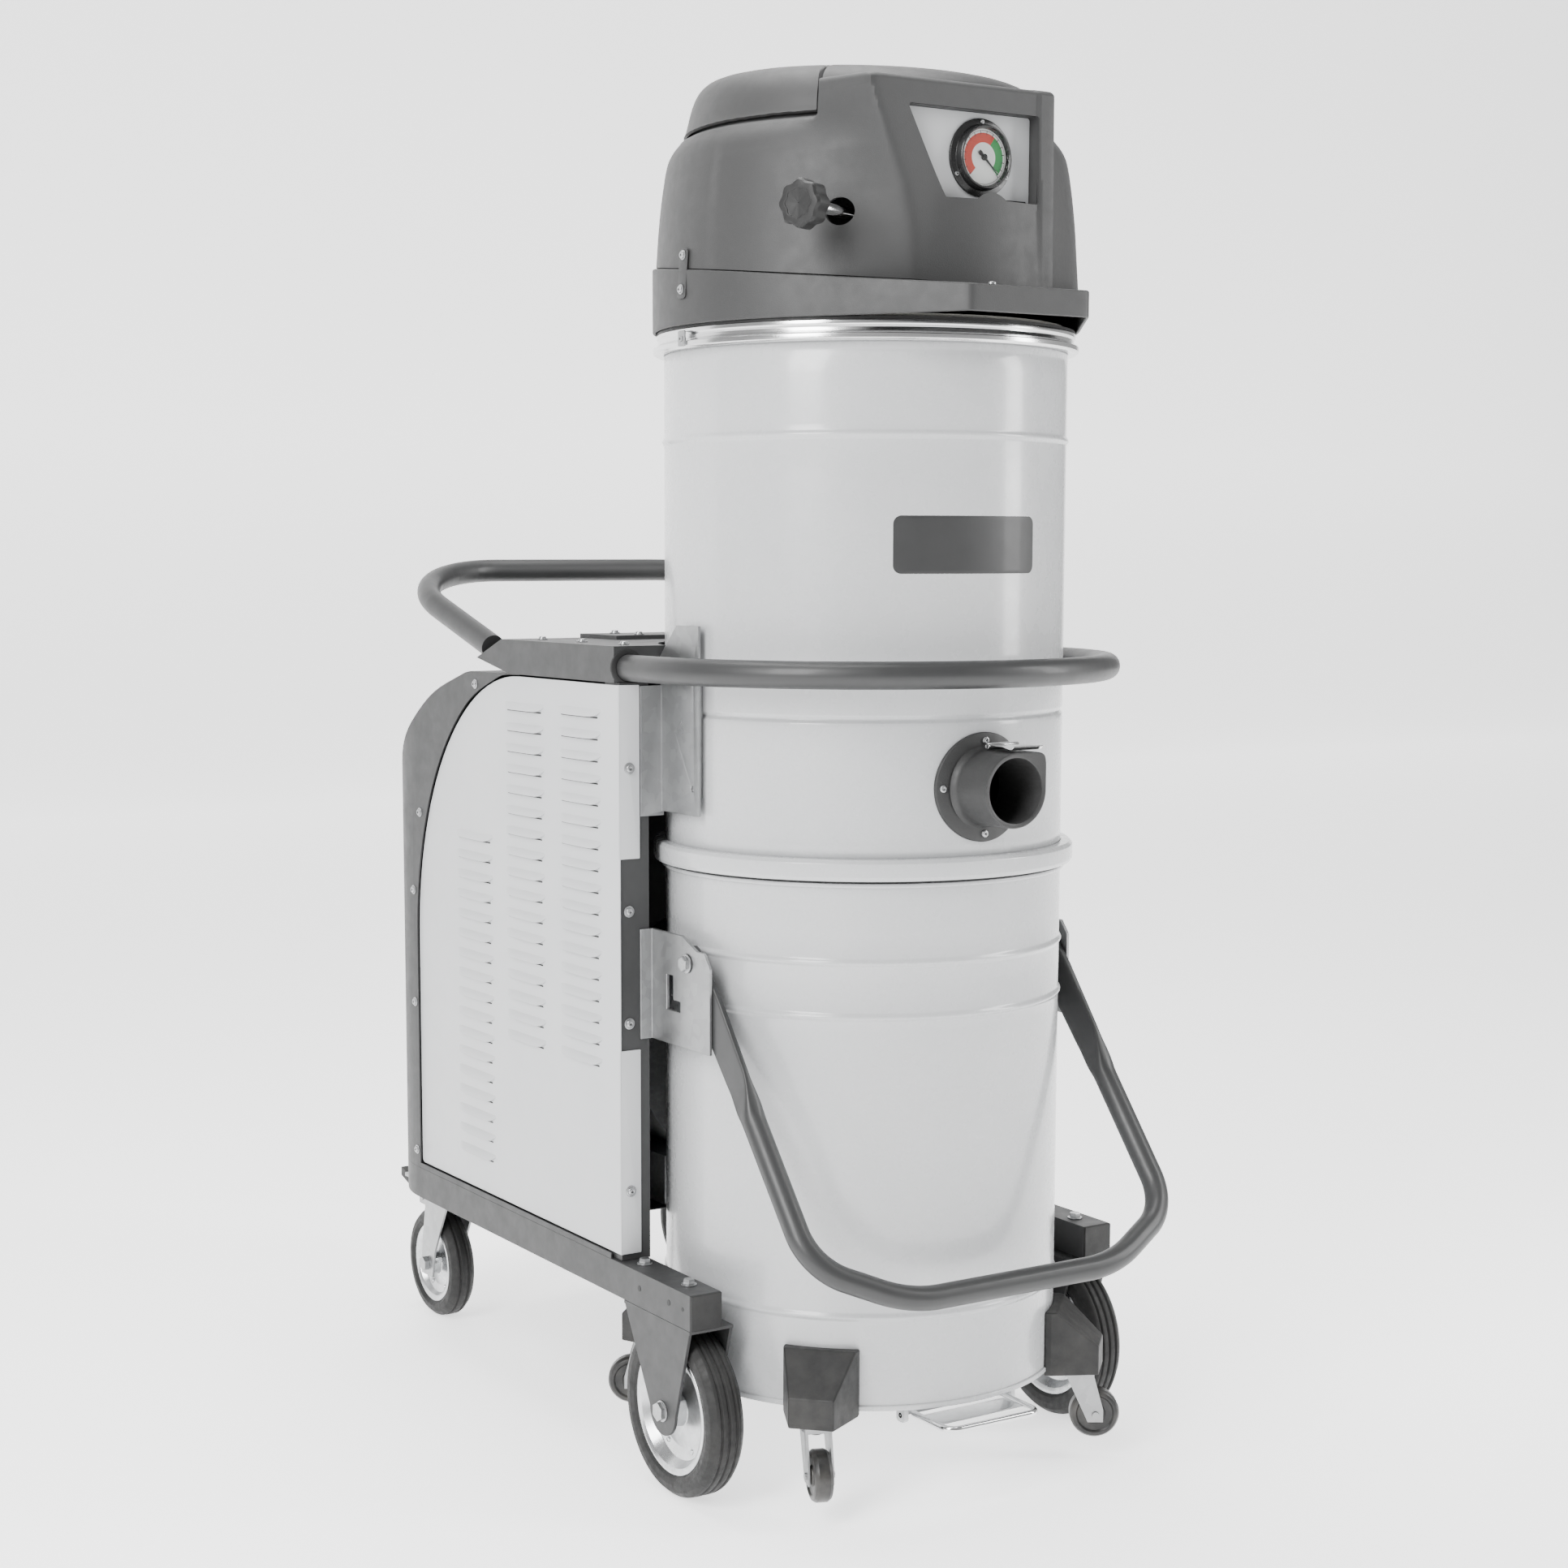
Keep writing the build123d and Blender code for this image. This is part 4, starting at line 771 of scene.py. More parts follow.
def latch_band():
    """Small strap lug and screw on the polished ring."""
    pad = slab(box_outline(-7, 1283, 7, 1300, 2), 2.4, 0.5, facing_x(-242.4, -1))
    return gathered(pad, button_screw((-244.6, 0, 1291), (-1, 0, 0), 3.4))


def nameplate():
    """Blank plate wrapped on the drum: the flat outline's u is length along the wall."""
    def wrap(u, v, w):
        angle = (u / DRUM_R) - pi / 2 - radians(4)
        return np.stack([(DRUM_R + w) * np.cos(angle), (DRUM_R + w) * np.sin(angle), v], -1)
    base = rounded([(-92, 1036), (92, 1036), (92, 1098), (-92, 1098)], 9, 8)
    dense = spaced(np.vstack([base, base[:1]]), 6)[:-1]
    middle = np.array([0.0, 1067.0])
    share = np.linspace(0, 1, 14)[None, :, None]
    rows = middle + (dense[:, None] - middle) * (1 - share)
    lift = 0.35 * ease(1 - share[..., 0] * np.ones((len(dense), 1)), 1.0, 0.97)
    return net(wrap(rows[..., 0], rows[..., 1], lift), wrap_u=True)


def inlet_stub():
    """Flange hugging the drum, and a stub whose section is round below and squared at its upper corner.

    The section's radius is R over the p-norm of (cos, sin), with p = 9 in the first quarter, else 2."""
    turn = np.linspace(0, 2 * pi, 120, endpoint=False)
    c, s = np.cos(turn), np.sin(turn)
    p = np.where((c > 0) & (s > 0), 9.0, 2.0)
    square = 41.0 / (np.abs(c) ** p + np.abs(s) ** p) ** (1 / p)
    rings = [(46.5, 0.0, -233.5), (43.0, 0.35, -236.5), (41.2, 1.0, -241.0), (41.0, 1.0, -287.6),
             (40.6, 1.0, -289.2), (39.6, 1.0, -290.0), (37.0, 0.0, -290.0), (35.6, 0.0, -289.2),
             (35.0, 0.0, -287.6), (35.0, 0.0, -214.0)]
    rows = []
    for radius, share, y in rings:
        r = radius * (1 - share) + (square + radius - 41.0) * share
        rows.append(np.stack([r * c, np.full_like(c, y), INLET_Z + r * s], 1))
    stub = net(np.stack(rows, 1), wrap_u=True)
    reach = [(44.0, 4.9), (57.0, 4.6), (59.3, 4.2), (60.0, 3.2), (60.0, 0.2)]
    rows = []
    for radius, lift in reach:
        x = radius * c
        rows.append(np.stack([x, -np.sqrt((DRUM_R + lift) ** 2 - x ** 2), INLET_Z + radius * s], 1))
    return gathered(stub, net(np.stack(rows, 1), wrap_u=True))


def inlet_screws():
    parts = []
    for angle in (90, 180, 270):
        x, z = 51 * cos(radians(angle)), 51 * sin(radians(angle))
        normal = unit((x, -np.sqrt(DRUM_R ** 2 - x * x), 0))
        place = normal * (DRUM_R + 4.6) + np.array([0, 0, INLET_Z + z])
        parts.append(button_screw(place, normal, 4.2))
    return gathered(*parts)


def inlet_clip():
    """Spring clip over the stub: a bent strip with a curled lip and its hinge eye."""
    line = rounded([(-245, 848), (-249, 851.5), (-272, 851.5), (-286, 849), (-291, 852.5)], 3, 6,
                   closed=False)
    path = np.stack([np.full(len(line), 14.5), line[:, 0], line[:, 1]], 1)
    strip = carried(path, (1, 0, 0), 0.8, 20.0, 24, 8.0)
    eye = spun(rounded([(1.6, -21), (3.8, -21), (3.8, 21), (1.6, 21)], 0.5, 3), (14.5, -245, 850.4),
               (1, 0, 0), 24)
    return gathered(strip, eye)


def make_drum():
    piece("container_shell", container_shell(), light_enamel, "dust_container", ["container"])
    piece("chamber_shell", chamber_shell(), light_enamel, "trolley", ["filter_chamber"],
          wall=WALL)
    piece("container_clamp_ring", clamp_ring(), light_enamel, "trolley", ["clamp_ring"])
    piece("head_flange_ring", flange_ring(), ring_steel, "trolley", ["flange_ring"])
    piece("ring_strap_lug", latch_band(), zinc, "trolley")
    piece("blank_nameplate", nameplate(), tube_enamel, "trolley")
    piece("hose_inlet", inlet_stub(), inlet_plastic, "trolley", ["inlet_fitting"])
    piece("hose_inlet_screws", inlet_screws(), bolt_zinc, "trolley")
    piece("hose_inlet_clip", inlet_clip(), wire_chrome, "latch", ["inlet_latch"])


# ---------------------------------------------------------------- head

SPLIT_Z = 1366.0
SPLIT_SLOPE = tan(radians(6.0))
SKIRT_LOW = 1306.0
GAUGE_Z = 1476.0
PANEL_Y = -212.0
BOSS_Y = 227.0
BOSS_TOP = 1564.0
WINDOW = [(-57, 1430), (67, 1430), (67, 1523), (-105, 1523)]
# Hood outline as height against radius, up the wall and over the top, before the top is tilted.
DOME_WALL = np.array([(1300, 241.5), (1352, 240.5), (1383, 238.5), (1425, 235.5), (1467, 230.5),
                      (1485, 227.5), (1496, 224.5), (1505, 219.5), (1513, 213), (1519, 208.5),
                      (1525, 205.5), (1541, 201.5), (1553, 197.5), (1563, 192.5), (1571, 186)], float)
DOME_TOP = np.array([(0, 1594), (60, 1593), (119, 1589), (150, 1585.5), (167, 1581.5), (178, 1577),
                     (186, 1571)], float)
TOP_TILT = 0.06
CAP_LOW = 1521.0


def dome_radius(z):
    """Radius of the hood's wall at a height, along a curve through DOME_WALL."""
    return smooth_through(DOME_WALL, z)


def smooth_through(table, at):
    """Cubic Hermite curve through rows of (place, value), with slopes from each row's neighbours."""
    x, y = table[:, 0], table[:, 1]
    slope = np.gradient(y, x)
    at = np.clip(at, x[0], x[-1])
    i = np.clip(np.searchsorted(x, at, side="right") - 1, 0, len(x) - 2)
    h = x[i + 1] - x[i]
    t = (at - x[i]) / h
    a, b = 2 * t ** 3 - 3 * t ** 2 + 1, t ** 3 - 2 * t ** 2 + t
    return a * y[i] + b * h * slope[i] + (1 - a) * y[i + 1] + (t ** 3 - t ** 2) * h * slope[i + 1]


def split_height(y):
    return SPLIT_Z + SPLIT_SLOPE * y


def boss_radius(turn, z):
    """Distance from the axis to the hood's flat front: the nearest of three upright planes.

    The front plane is square to y. The left one leans back by an angle that grows with height and meets
    the front along a line that runs outwards going up. The right one is square to x."""
    front_edge = np.interp(z, (1349, 1395, 1437, 1480, 1518, 1544), (93, 96, 107, 127, 144, 152))
    lean = np.radians(np.interp(z, (1350, 1440, 1480, 1518, 1544), (37.5, 47.5, 58.0, 76.0, 84.0)))
    c, s = np.cos(turn), np.sin(turn)
    far = 2000.0
    facing = np.maximum(-s, 0.2)
    rib = 3.0 * ease(c * BOSS_Y / facing, 65.5, 67.5)
    front = (BOSS_Y + rib) / facing
    past = np.arctan2(-c, -s) > lean
    toward = np.where(past, 1.0, -np.sin(lean) * c - np.cos(lean) * s)
    left = (np.sin(lean) * front_edge + np.cos(lean) * BOSS_Y) / np.maximum(toward, 0.05)
    right = np.where(c > 0.05, 88.0 / np.maximum(c, 0.05), far)
    near = smaller(smaller(front, left, 5.0), right, 4.0)
    near = near - 10.0 * (1 - np.sqrt(1 - np.clip((z - (BOSS_TOP - 10)) / 10, 0, 1) ** 2))
    return np.where((s < -0.2) & (z < BOSS_TOP + 0.01), near, 0.0)


def cap_front(x):
    """Plan of the cap's front edge: y as a power of the distance from the middle."""
    return -60.0 - 82.0 * (np.abs(x) / 160.0) ** 2.2


def hood_surface():
    """Radius over angle and height: the dome or the flat front, whichever is further out.

    Under the cap the surface steps in, which leaves the dark gap below the cap's edge."""
    coarse = np.radians(np.arange(-52.0, 205.0, 2.0))
    fine = np.radians(np.arange(205.0, 308.0, 0.8))
    turn = np.concatenate([coarse, fine])
    wall_z = np.concatenate([np.linspace(1395, 1500, 28), np.arange(1503, 1536, 3.0),
                             np.arange(1537, 1551, 2.5), np.arange(1552, 1564, 1.2),
                             [1564.0, 1564.4, 1567, 1570]])
    base = split_height(240.0 * np.sin(turn))[:, None] + 0.9
    low = base + (1395 - base) * np.linspace(0, 0.93, 9)[None]
    z = np.hstack([low, np.broadcast_to(wall_z, (len(turn), len(wall_z)))])
    angle = np.broadcast_to(turn[:, None], z.shape)
    dome = dome_radius(z)
    boss = boss_radius(angle, z)
    blended = np.where(boss > dome - 25, larger(dome, boss, 5.0), dome)
    under_cap = (ease(blended * np.sin(angle) - cap_front(blended * np.cos(angle)), 1.0, 4.0)
                 * ease(z, 1512.0, 1520.0))
    blended = blended + (dome - blended) * under_cap
    top_r = np.linspace(184, 0.4, 24)
    top_z = smooth_through(DOME_TOP, top_r)
    r = np.hstack([blended, np.broadcast_to(top_r, (len(turn), 24))])
    z = np.hstack([z, np.broadcast_to(top_z, (len(turn), 24))])
    angle = np.broadcast_to(turn[:, None], z.shape)
    x, y = r * np.cos(angle), r * np.sin(angle)
    inside = ease(y - cap_front(x), 1.0, 4.0) * ease(z, 1516.0, 1520.5)
    r = r - 8.0 * inside * (z < 1571)
    z = z - 8.0 * inside * ease(z, 1535, 1571) + TOP_TILT * y * ease(z, 1525, 1570)
    points = np.stack([r * np.cos(angle), r * np.sin(angle), z], -1)
    return net(points, wrap_u=True)


def cap_surface():
    """Exhaust cap: rings from a middle point out to the rim, each at the dome's height."""
    middle = np.array([0.0, 50.0])
    turn = np.radians(np.arange(0, 360, 1.5))
    ray = np.stack([np.cos(turn), np.sin(turn)], 1)
    reach = np.arange(0.5, 300, 0.5)
    spot = middle + ray[:, None] * reach[None, :, None]
    radius = float(dome_radius(np.array(CAP_LOW)))
    inside = (np.hypot(spot[..., 0], spot[..., 1]) < radius) & (spot[..., 1] > cap_front(spot[..., 0]) + 1.0)
    edge = inside.sum(1) * 0.5
    share = 1 - (1 - np.linspace(0.02, 1, 40)) ** 2
    spot = middle + ray[:, None] * (edge[:, None] * share[None])[..., None]
    r = np.hypot(spot[..., 0], spot[..., 1])
    wall = DOME_WALL[::-1]
    outer = wall[wall[:, 0] >= CAP_LOW - 20]
    table = np.vstack([DOME_TOP, outer[1:, ::-1]])
    fine_r = np.linspace(0, radius, 300)
    fine_z = np.interp(fine_r, table[:, 0], table[:, 1])
    fine_z = np.convolve(np.pad(fine_z, 4, mode="edge"), np.ones(9) / 9, "valid")
    z = np.interp(r, fine_r, fine_z)
    z = z + TOP_TILT * spot[..., 1] * ease(z, 1525, 1570)
    return net(np.stack([spot[..., 0], spot[..., 1], z], -1), wrap_u=True)


def skirt_outline(turn):
    """Radius of the skirt in plan: a circle, run out by its own tangents to a square lip at the front."""
    radius, half, front = 243.0, 78.0, 304.0
    corner = np.arctan2(front, half)
    tangent = -corner + np.arccos(radius / hypot(half, front))
    c, s = np.abs(np.cos(turn)), np.sin(turn)
    folded = np.arctan2(s, c)
    side = radius / np.maximum(np.cos(folded - tangent), 0.1)
    lip = smaller(side, front / np.maximum(-s, 0.2), 3.0)
    return np.where(folded < tangent, lip, radius)


def skirt_surface():
    turn = np.radians(np.concatenate([np.arange(-130, -50, 0.5), np.arange(-50, 230, 2.0)]))
    outer = skirt_outline(turn)
    c, s = np.cos(turn), np.sin(turn)
    wall = 4.0

    def row(radius, z=None, under=0.0):
        y = radius * s
        height = split_height(y) - under if z is None else np.full_like(y, z)
        return np.stack([radius * c, y, height], 1)

    deck = np.full_like(outer, 221.0)
    rows = [row(outer - 1.0, SKIRT_LOW), row(outer, SKIRT_LOW + 1.0), row(outer, None, 3.0),
            row(outer - 0.4, None, 1.2), row(outer - 1.3, None, 0.4), row(outer - 3.0, None, 0.0),
            row(deck, None, 0.0), row(deck, None, wall),
            row(np.maximum(outer - wall, deck + 0.5), None, wall + 0.4), row(outer - wall, SKIRT_LOW + 1.0), row(outer - wall + 0.8, SKIRT_LOW)]
    return net(np.stack(rows, 1), wrap_u=True, wrap_v=True)


def window_frame():
    """Walls of the recess that the panel lies in."""
    line = rounded(WINDOW, 3, 5)
    middle = line.mean(0)
    wide = middle + (line - middle) * 1.045
    rows = [(line, -225.5), (line, PANEL_Y + 1.0), (wide, PANEL_Y + 1.0), (wide, -224.6)]
    points = np.stack([np.stack([l[:, 0], np.full(len(l), y), l[:, 1]], 1) for l, y in rows], 1)
    return net(points, wrap_u=True, wrap_v=True)


def make_head():
    hood = piece("moulded_hood", hood_surface(), hood_plastic, "trolley", ["head_hood"],
                 wall=3.5)
    window = slab(rounded(WINDOW, 3, 5), 60, 0.1, facing_front(-175))
    foot = np.array([-147.0, -174.0, 1414.0])
    aim = unit((-0.911, -0.413, 0.0))
    bore = spun([(0.0, -40), (14.5, -40), (14.5, 60), (0.0, 60)], foot, aim, 48)
    carve(hood, window, bore)
    piece("panel_recess", window_frame(), hood_plastic, "trolley")
    piece("exhaust_cap", cap_surface(), hood_plastic, "trolley", ["head_cap"], wall=3.5,
          bevel=0.7)
    piece("lower_skirt", skirt_surface(), hood_plastic, "trolley", ["head_skirt"])
    sheet = rounded(np.array([0, 1476]) + (np.array(WINDOW) - np.array([0, 1476])) * 0.995, 3, 5)
    piece("gauge_panel", slab(sheet, 2.0, 0.3, facing_front(PANEL_Y + 2.0)), panel_sheet, "trolley",
          ["instrument_panel"])
    # Thin black strip over the panel: painted shade standing in for the slit's opening.
    slit = slab(box_outline(30, 1432, 62, 1434.6, 0.8), 1.2, 0.2, facing_front(PANEL_Y + 0.4))
    piece("panel_slit", slit, black_plastic, "trolley")
    tab = slab(box_outline(-8.5, 1334, 8.5, 1388, 5), 1.6, 0.5, lambda u, v, w: np.stack(
        [-(np.sqrt(243.2 ** 2 - u ** 2) - 3.4 * ease(v, 1340, 1388) + w), u, v], -1))
    piece("hood_hinge_tabs", both_sides(tab), dark_enamel, "trolley")
    heads = [button_screw((-244.4 + 2.8 * (z > 1360), 0, z), (-1, 0, 0), 4.0, 5.4) for z in (1344, 1381)]
    heads.append(button_screw((-20, -262, split_height(-262) - 0.5), (0, -0.1, 1), 4.6, 6.0))
    piece("hood_screws", gathered(*heads, *[flipped(h) for h in heads[:2]]), bolt_zinc, "trolley")
    make_gauge()
    make_shaker(foot, aim)


def make_gauge():
    place = (0, PANEL_Y, GAUGE_Z)
    forward = (0, -1, 0)
    ring = [(41.0, 0.0), (41.0, 3.2), (34.4, 4.2), (33.6, 11.6), (32.6, 13.4), (31.2, 13.6), (30.4, 12.4),
            (29.6, 9.0), (29.6, 6.0), (29.6, 0.0)]
    piece("gauge_bezel", spun(rounded(ring, 0.8, 4), place, forward, 96), bezel_black, "trolley",
          ["gauge_case"])
    dial = dial_finish(GAUGE_Z)
    plate = [(0.0, 6.4), (29.8, 6.4), (29.8, 5.4), (0.0, 5.4)]
    piece("gauge_dial", spun(plate, place, forward, 64), dial, "trolley")
    glass = [(0.0, 11.6), (15, 11.3), (29.9, 10.4), (29.9, 9.2), (15, 10.0), (0.0, 10.3)]
    piece("gauge_lens", spun(glass, place, forward, 64), lens_glass, "trolley")
    heads = []
    for angle in (90, 210, 330):
        x, z = 37.4 * cos(radians(angle)), 37.4 * sin(radians(angle))
        heads.append(button_screw((x, PANEL_Y - 3.4, GAUGE_Z + z), forward, 2.5))
    piece("gauge_screws", gathered(*heads), bolt_zinc, "trolley")
    aim = radians(-42)
    tip, tail = 25.0, -9.0
    blade = np.array([(tail, -2.0), (tail + 3, -2.4), (0, -1.3), (tip, -0.35), (tip, 0.35), (0, 1.3),
                      (tail + 3, 2.4), (tail, 2.0)])
    turned = np.stack([blade[:, 0] * cos(aim) - blade[:, 1] * sin(aim),
                       blade[:, 0] * sin(aim) + blade[:, 1] * cos(aim)], 1)
    arm = slab(turned + np.array([0, GAUGE_Z]), 0.7, 0.1, facing_front(PANEL_Y - 7.6))
    hub = spun(rounded([(0.01, 6.6), (3.4, 6.6), (3.4, 9.4), (0.01, 9.6)], 0.5, 4), place, forward, 32)
    piece("gauge_pointer", gathered(arm, hub), bezel_black, "needle", ["gauge_needle"])


def make_shaker(foot, aim):
    """Rod out of the hood and a lobed grip: radius times 1 + 0.055 cos(8 angle)."""
    rod = rounded([(0.01, -110), (6, -110), (6, 67), (0.01, 67)], 0.6, 3)
    piece("shaker_push_rod", spun(rod, foot, aim, 32), wire_chrome, "shaker", ["shaker_rod"])
    grip = [(0.01, 55.0), (9.4, 55.0), (10.2, 57.0), (10.6, 66.5), (21.0, 68.0), (24.0, 70.5),
            (24.2, 89.0), (22.0, 92.5), (15.5, 93.2), (14.4, 92.0), (0.01, 91.8)]
    line = rounded(grip, 1.4, 4)

    def lobes(turn):
        return 1 + 0.055 * np.cos(8 * turn)

    piece("shaker_grip", spun(line, foot, aim, 128, lobes=lobes), black_plastic, "shaker",
          ["shaker_knob"])


# ---------------------------------------------------------------- wheels

def tyre_profile(radius, width, rim_r, grooves):
    """Half-round shoulders, a flat tread with grooves, and sidewalls that narrow to the rim."""
    half = width / 2
    corner = [(rim_r, -half + 4.5), (rim_r + 4, -half + 1.6), (radius - 15, -half),
              (radius - 7, -half + 1.0), (radius - 1.2, -half + 7.5)]
    tread = []
    for place in grooves:
        tread += [(radius, place - 1.7), (radius - 2.2, place - 1.0), (radius - 2.2, place + 1.0),
                  (radius, place + 1.7)]
    mirrored = [(r, -h) for r, h in corner[::-1]]
    return rounded(corner + tread + mirrored, 2.6 if radius > 90 else 1.8, 4)


def rim_profile(rim_r, width, hub_r, hub_half):
    """Pressed rim: rolled lip, deep dish and raised hub, the same both sides."""
    half = width / 2
    lip = half - 3.2
    one = [(6.2, -hub_half), (hub_r, -hub_half), (hub_r + 1.2, -7.0), (rim_r * 0.62, -4.2),
           (rim_r * 0.80, -6.5), (rim_r - 7.5, -lip + 1.5), (rim_r - 3.0, -lip - 0.6),
           (rim_r + 0.4, -lip)]
    return rounded(one + [(r, -h) for r, h in one[::-1]], 1.3, 4)


def make_wheel(side, end, x, y, radius, width, rim_r, hub_r):
    middle = (x, y, radius)
    body = f"{side}_{end}_wheel"
    grooves = (-9.5, 0.0, 9.5) if end == "front" else (-6.0, 6.0)
    tread = spun(tyre_profile(radius, width, rim_r, grooves), middle, (1, 0, 0), 128)
    piece(f"{side}_{end}_tread", tread, rubber, body, [f"{side}_{end}_tyre"], sharp=50)
    rim = [spun(rim_profile(rim_r, width, hub_r, width / 2 + 1.5), middle, (1, 0, 0), 96)]
    rivet = [(0.01, 1.6), (2.6, 1.3), (3.6, 0.0), (3.6, -1.0), (0.01, -1.0)]
    for angle in np.radians(np.arange(0, 360, 60)):
        ring = rim_r * 0.70
        for out in (-1, 1):
            spot = (x + out * 5.2, y + ring * np.cos(angle), radius + ring * np.sin(angle))
            rim.append(spun(rivet, spot, (out, 0, 0), 16))
    piece(f"{side}_{end}_disc", gathered(*rim), rim_zinc, body, [f"{side}_{end}_rim"],
          sharp=40)


def make_small_wheels():
    names = (("front_left", 225, 250), ("front_right", 315, 328), ("rear_left", 135, 148),
             ("rear_right", 45, 30))
    for name, place, trail in names:
        axis = np.array([262 * cos(radians(place)), 262 * sin(radians(place)), 0.0])
        way = np.array([cos(radians(trail)), sin(radians(trail)), 0.0])
        middle = axis + 19 * way + np.array([0, 0, 55.0])
        axle = np.array([-way[1], way[0], 0.0])
        half = 11.0
        one = [(4.1, -half), (11, -half), (12, -half + 2.2), (20.5, -half + 2.2), (22.5, -half),
               (26.5, -half + 1.2), (29.0, -half + 5.0)]
        line = rounded(one + [(r, -h) for r, h in one[::-1]], 1.2, 4)
        piece(f"{name}_castor_wheel", spun(line, middle, axle, 64), nylon, f"{name}_drum_roller",
              [f"{name}_drum_wheel"], sharp=45)
        dressed(f"{name}_drum_fork", zinc, 0.7)


def make_running_gear():
    for side, sign in (("left", -1), ("right", 1)):
        make_wheel(side, "front", sign * (HALF_WIDTH - 28.5), -43.0, 100.0, 45.0, 74.0, 19.0)
        make_wheel(side, "rear", sign * 205.0, 729.0, 75.0, 36.0, 54.0, 15.0)
        dressed(f"{side}_rear_fork", zinc, 0.8)
        dressed(f"{side}_brake_pedal", black_plastic, 1.6)
    dressed("front_wheel_forks", dark_enamel, 1.0)
    dressed("rear_caster_plates", zinc, 0.8)
    dressed("caster_blocks", black_plastic, 2.2)
    bolts = [hex_bolt((HALF_WIDTH, -43, 100), (1, 0, 0), 17, 5.3, 12.0),
             hex_bolt((HALF_WIDTH - 57, -43, 100), (-1, 0, 0), 19, 8.0, 12.0)]
    piece("front_axle_bolts", both_sides(*bolts), bolt_zinc, "trolley")
    make_small_wheels()


# ---------------------------------------------------------------- trolley and cabinet

PANEL_FRONT = 54.0
PANEL_LOW, PANEL_TOP = 256.0, 911.0


def panel_outline():
    """Side panel: straight foot and front, and a quarter ellipse up its rear."""
    turn = np.linspace(0, pi / 2, 28)
    rear = 592.0
    curve = np.stack([rear - 292 * (1 - np.cos(turn)), 560 + 351 * np.sin(turn)], 1)
    low = rounded([(PANEL_FRONT, PANEL_LOW), (rear, PANEL_LOW), (rear, 400)], 6, 5, closed=False)
    top = np.array([(PANEL_FRONT, PANEL_TOP)])
    return np.vstack([low[:-1], [(rear, 400)], curve, top])


LOUVRE_COLUMNS = ((96.0, 882.0), (235.0, 880.0), (374.0, 712.0))  # front end, top row
LOUVRE_LENGTH = 102.0
LOUVRE_PITCH = 25.2
LOUVRE_ROWS = 17


def louvre(front, rear, top):
    """Pressed scoop: height h(1 - (1 - v)^2) down the sheet, falling off at both ends as 1 - |2u - 1|^8."""
    u = np.linspace(0, 1, 13)[:, None]
    drop = np.array([0.0, 0.25, 0.5, 0.75, 1.0, 1.0, 0.99])
    lift = np.array([0.0, 0.30, 0.58, 0.84, 1.0, 0.86, 0.0])
    fall = 1 - np.abs(2 * u - 1) ** 8
    high, deep = 5.6, 9.5
    y = front + (rear - front) * u + 0 * drop
    z = top - deep * drop * (0.35 + 0.65 * fall)
    x = 294.8 + high * lift * fall
    return net(np.stack([x, y, z], -1))


def louvre_gaps():
    """Black strip under the lip of every louvre: painted shade where the open slot would be."""
    parts = []
    for front, top in LOUVRE_COLUMNS:
        for i in range(LOUVRE_ROWS):
            low = top - i * LOUVRE_PITCH - 11.0
            parts.append(slab(box_outline(front + 7, low, front + 95, low + 1.7, 0.8, 3), 0.5, 0.1,
                              facing_x(294.9)))
    return both_sides(*parts)


def side_panel():
    parts = [slab(panel_outline(), 2.0, 0.9, facing_x(293.0))]
    for low, high in ((PANEL_LOW, 494), (714, PANEL_TOP)):
        parts.append(slab(box_outline(268, low, 295, high, 1.2), 2.0, 0.8, facing_front(56)))
    for front, top in LOUVRE_COLUMNS:
        parts += [louvre(front, front + LOUVRE_LENGTH, top - i * LOUVRE_PITCH)
                  for i in range(LOUVRE_ROWS)]
    return both_sides(*parts)


TUBE_R = 15.0
HOOP_Z = 930.0
LEVER_TUBE_R = 13.5


def tube_path(points, radius, step=14.0):
    return spaced(rounded(points, radius, 24, closed=False), step)


def hoop():
    leg, z = 280.0, HOOP_Z
    turn = np.linspace(pi, 2 * pi, 90)
    arc = np.stack([leg * np.cos(turn), leg * np.sin(turn), np.full(90, z)], 1)
    path = np.vstack([[(-leg, 98, z), (-leg, 50, z)], arc, [(leg, 50, z), (leg, 98, z)]])
    return carried(path, (0, 0, 1), TUBE_R, TUBE_R, 32)


def push_handle():
    slope = tan(radians(16.8))
    half = HALF_WIDTH - 17.5
    rear_z = 943 + 302 * slope
    corners = [(-half, 398, 943), (-half, 700, rear_z), (half, 700, rear_z), (half, 398, 943)]
    path = tube_path(corners, np.array([1, 190, 190, 1.0]))
    return carried(path, (0, -slope, 1), TUBE_R, TUBE_R, 32)


def lifting_lever():
    """Round bar whose ends are pressed flat: the section goes from 27 round to 8 by 46 near the pivots."""
    reach, lean = 434.0, radians(39.2)
    x = 245.0

    def spot(across, along):
        return (across, -25 - along * sin(lean), 603 - along * cos(lean))

    corners = [spot(-x, -19.5), spot(-x, 378), spot(-140, reach), spot(140, reach), spot(x, 378),
               spot(x, -19.5)]
    path = tube_path(corners, np.array([1, 70, 150, 150, 70, 1.0]), 6.0)
    back = path - np.array(spot(0, 0))
    along = back @ np.array([0, -sin(lean), -cos(lean)])
    arm = np.abs(path[:, 0]) > x - 0.5
    flat = np.where(arm, 1 - ease(along, 150, 205), 0.0)
    side = LEVER_TUBE_R + (4.0 - LEVER_TUBE_R) * flat
    wide = np.interp(along, (-19.5, -17, -12, 0, 60, 150, 200), (5, 11, 17, 20, 23.5, 20.5, LEVER_TUBE_R))
    wide = np.where(arm, wide, LEVER_TUBE_R)
    power = 2.0 + 5.0 * flat
    normal = (0, cos(lean), -sin(lean))
    return carried(path, normal, side, wide, 32, power)


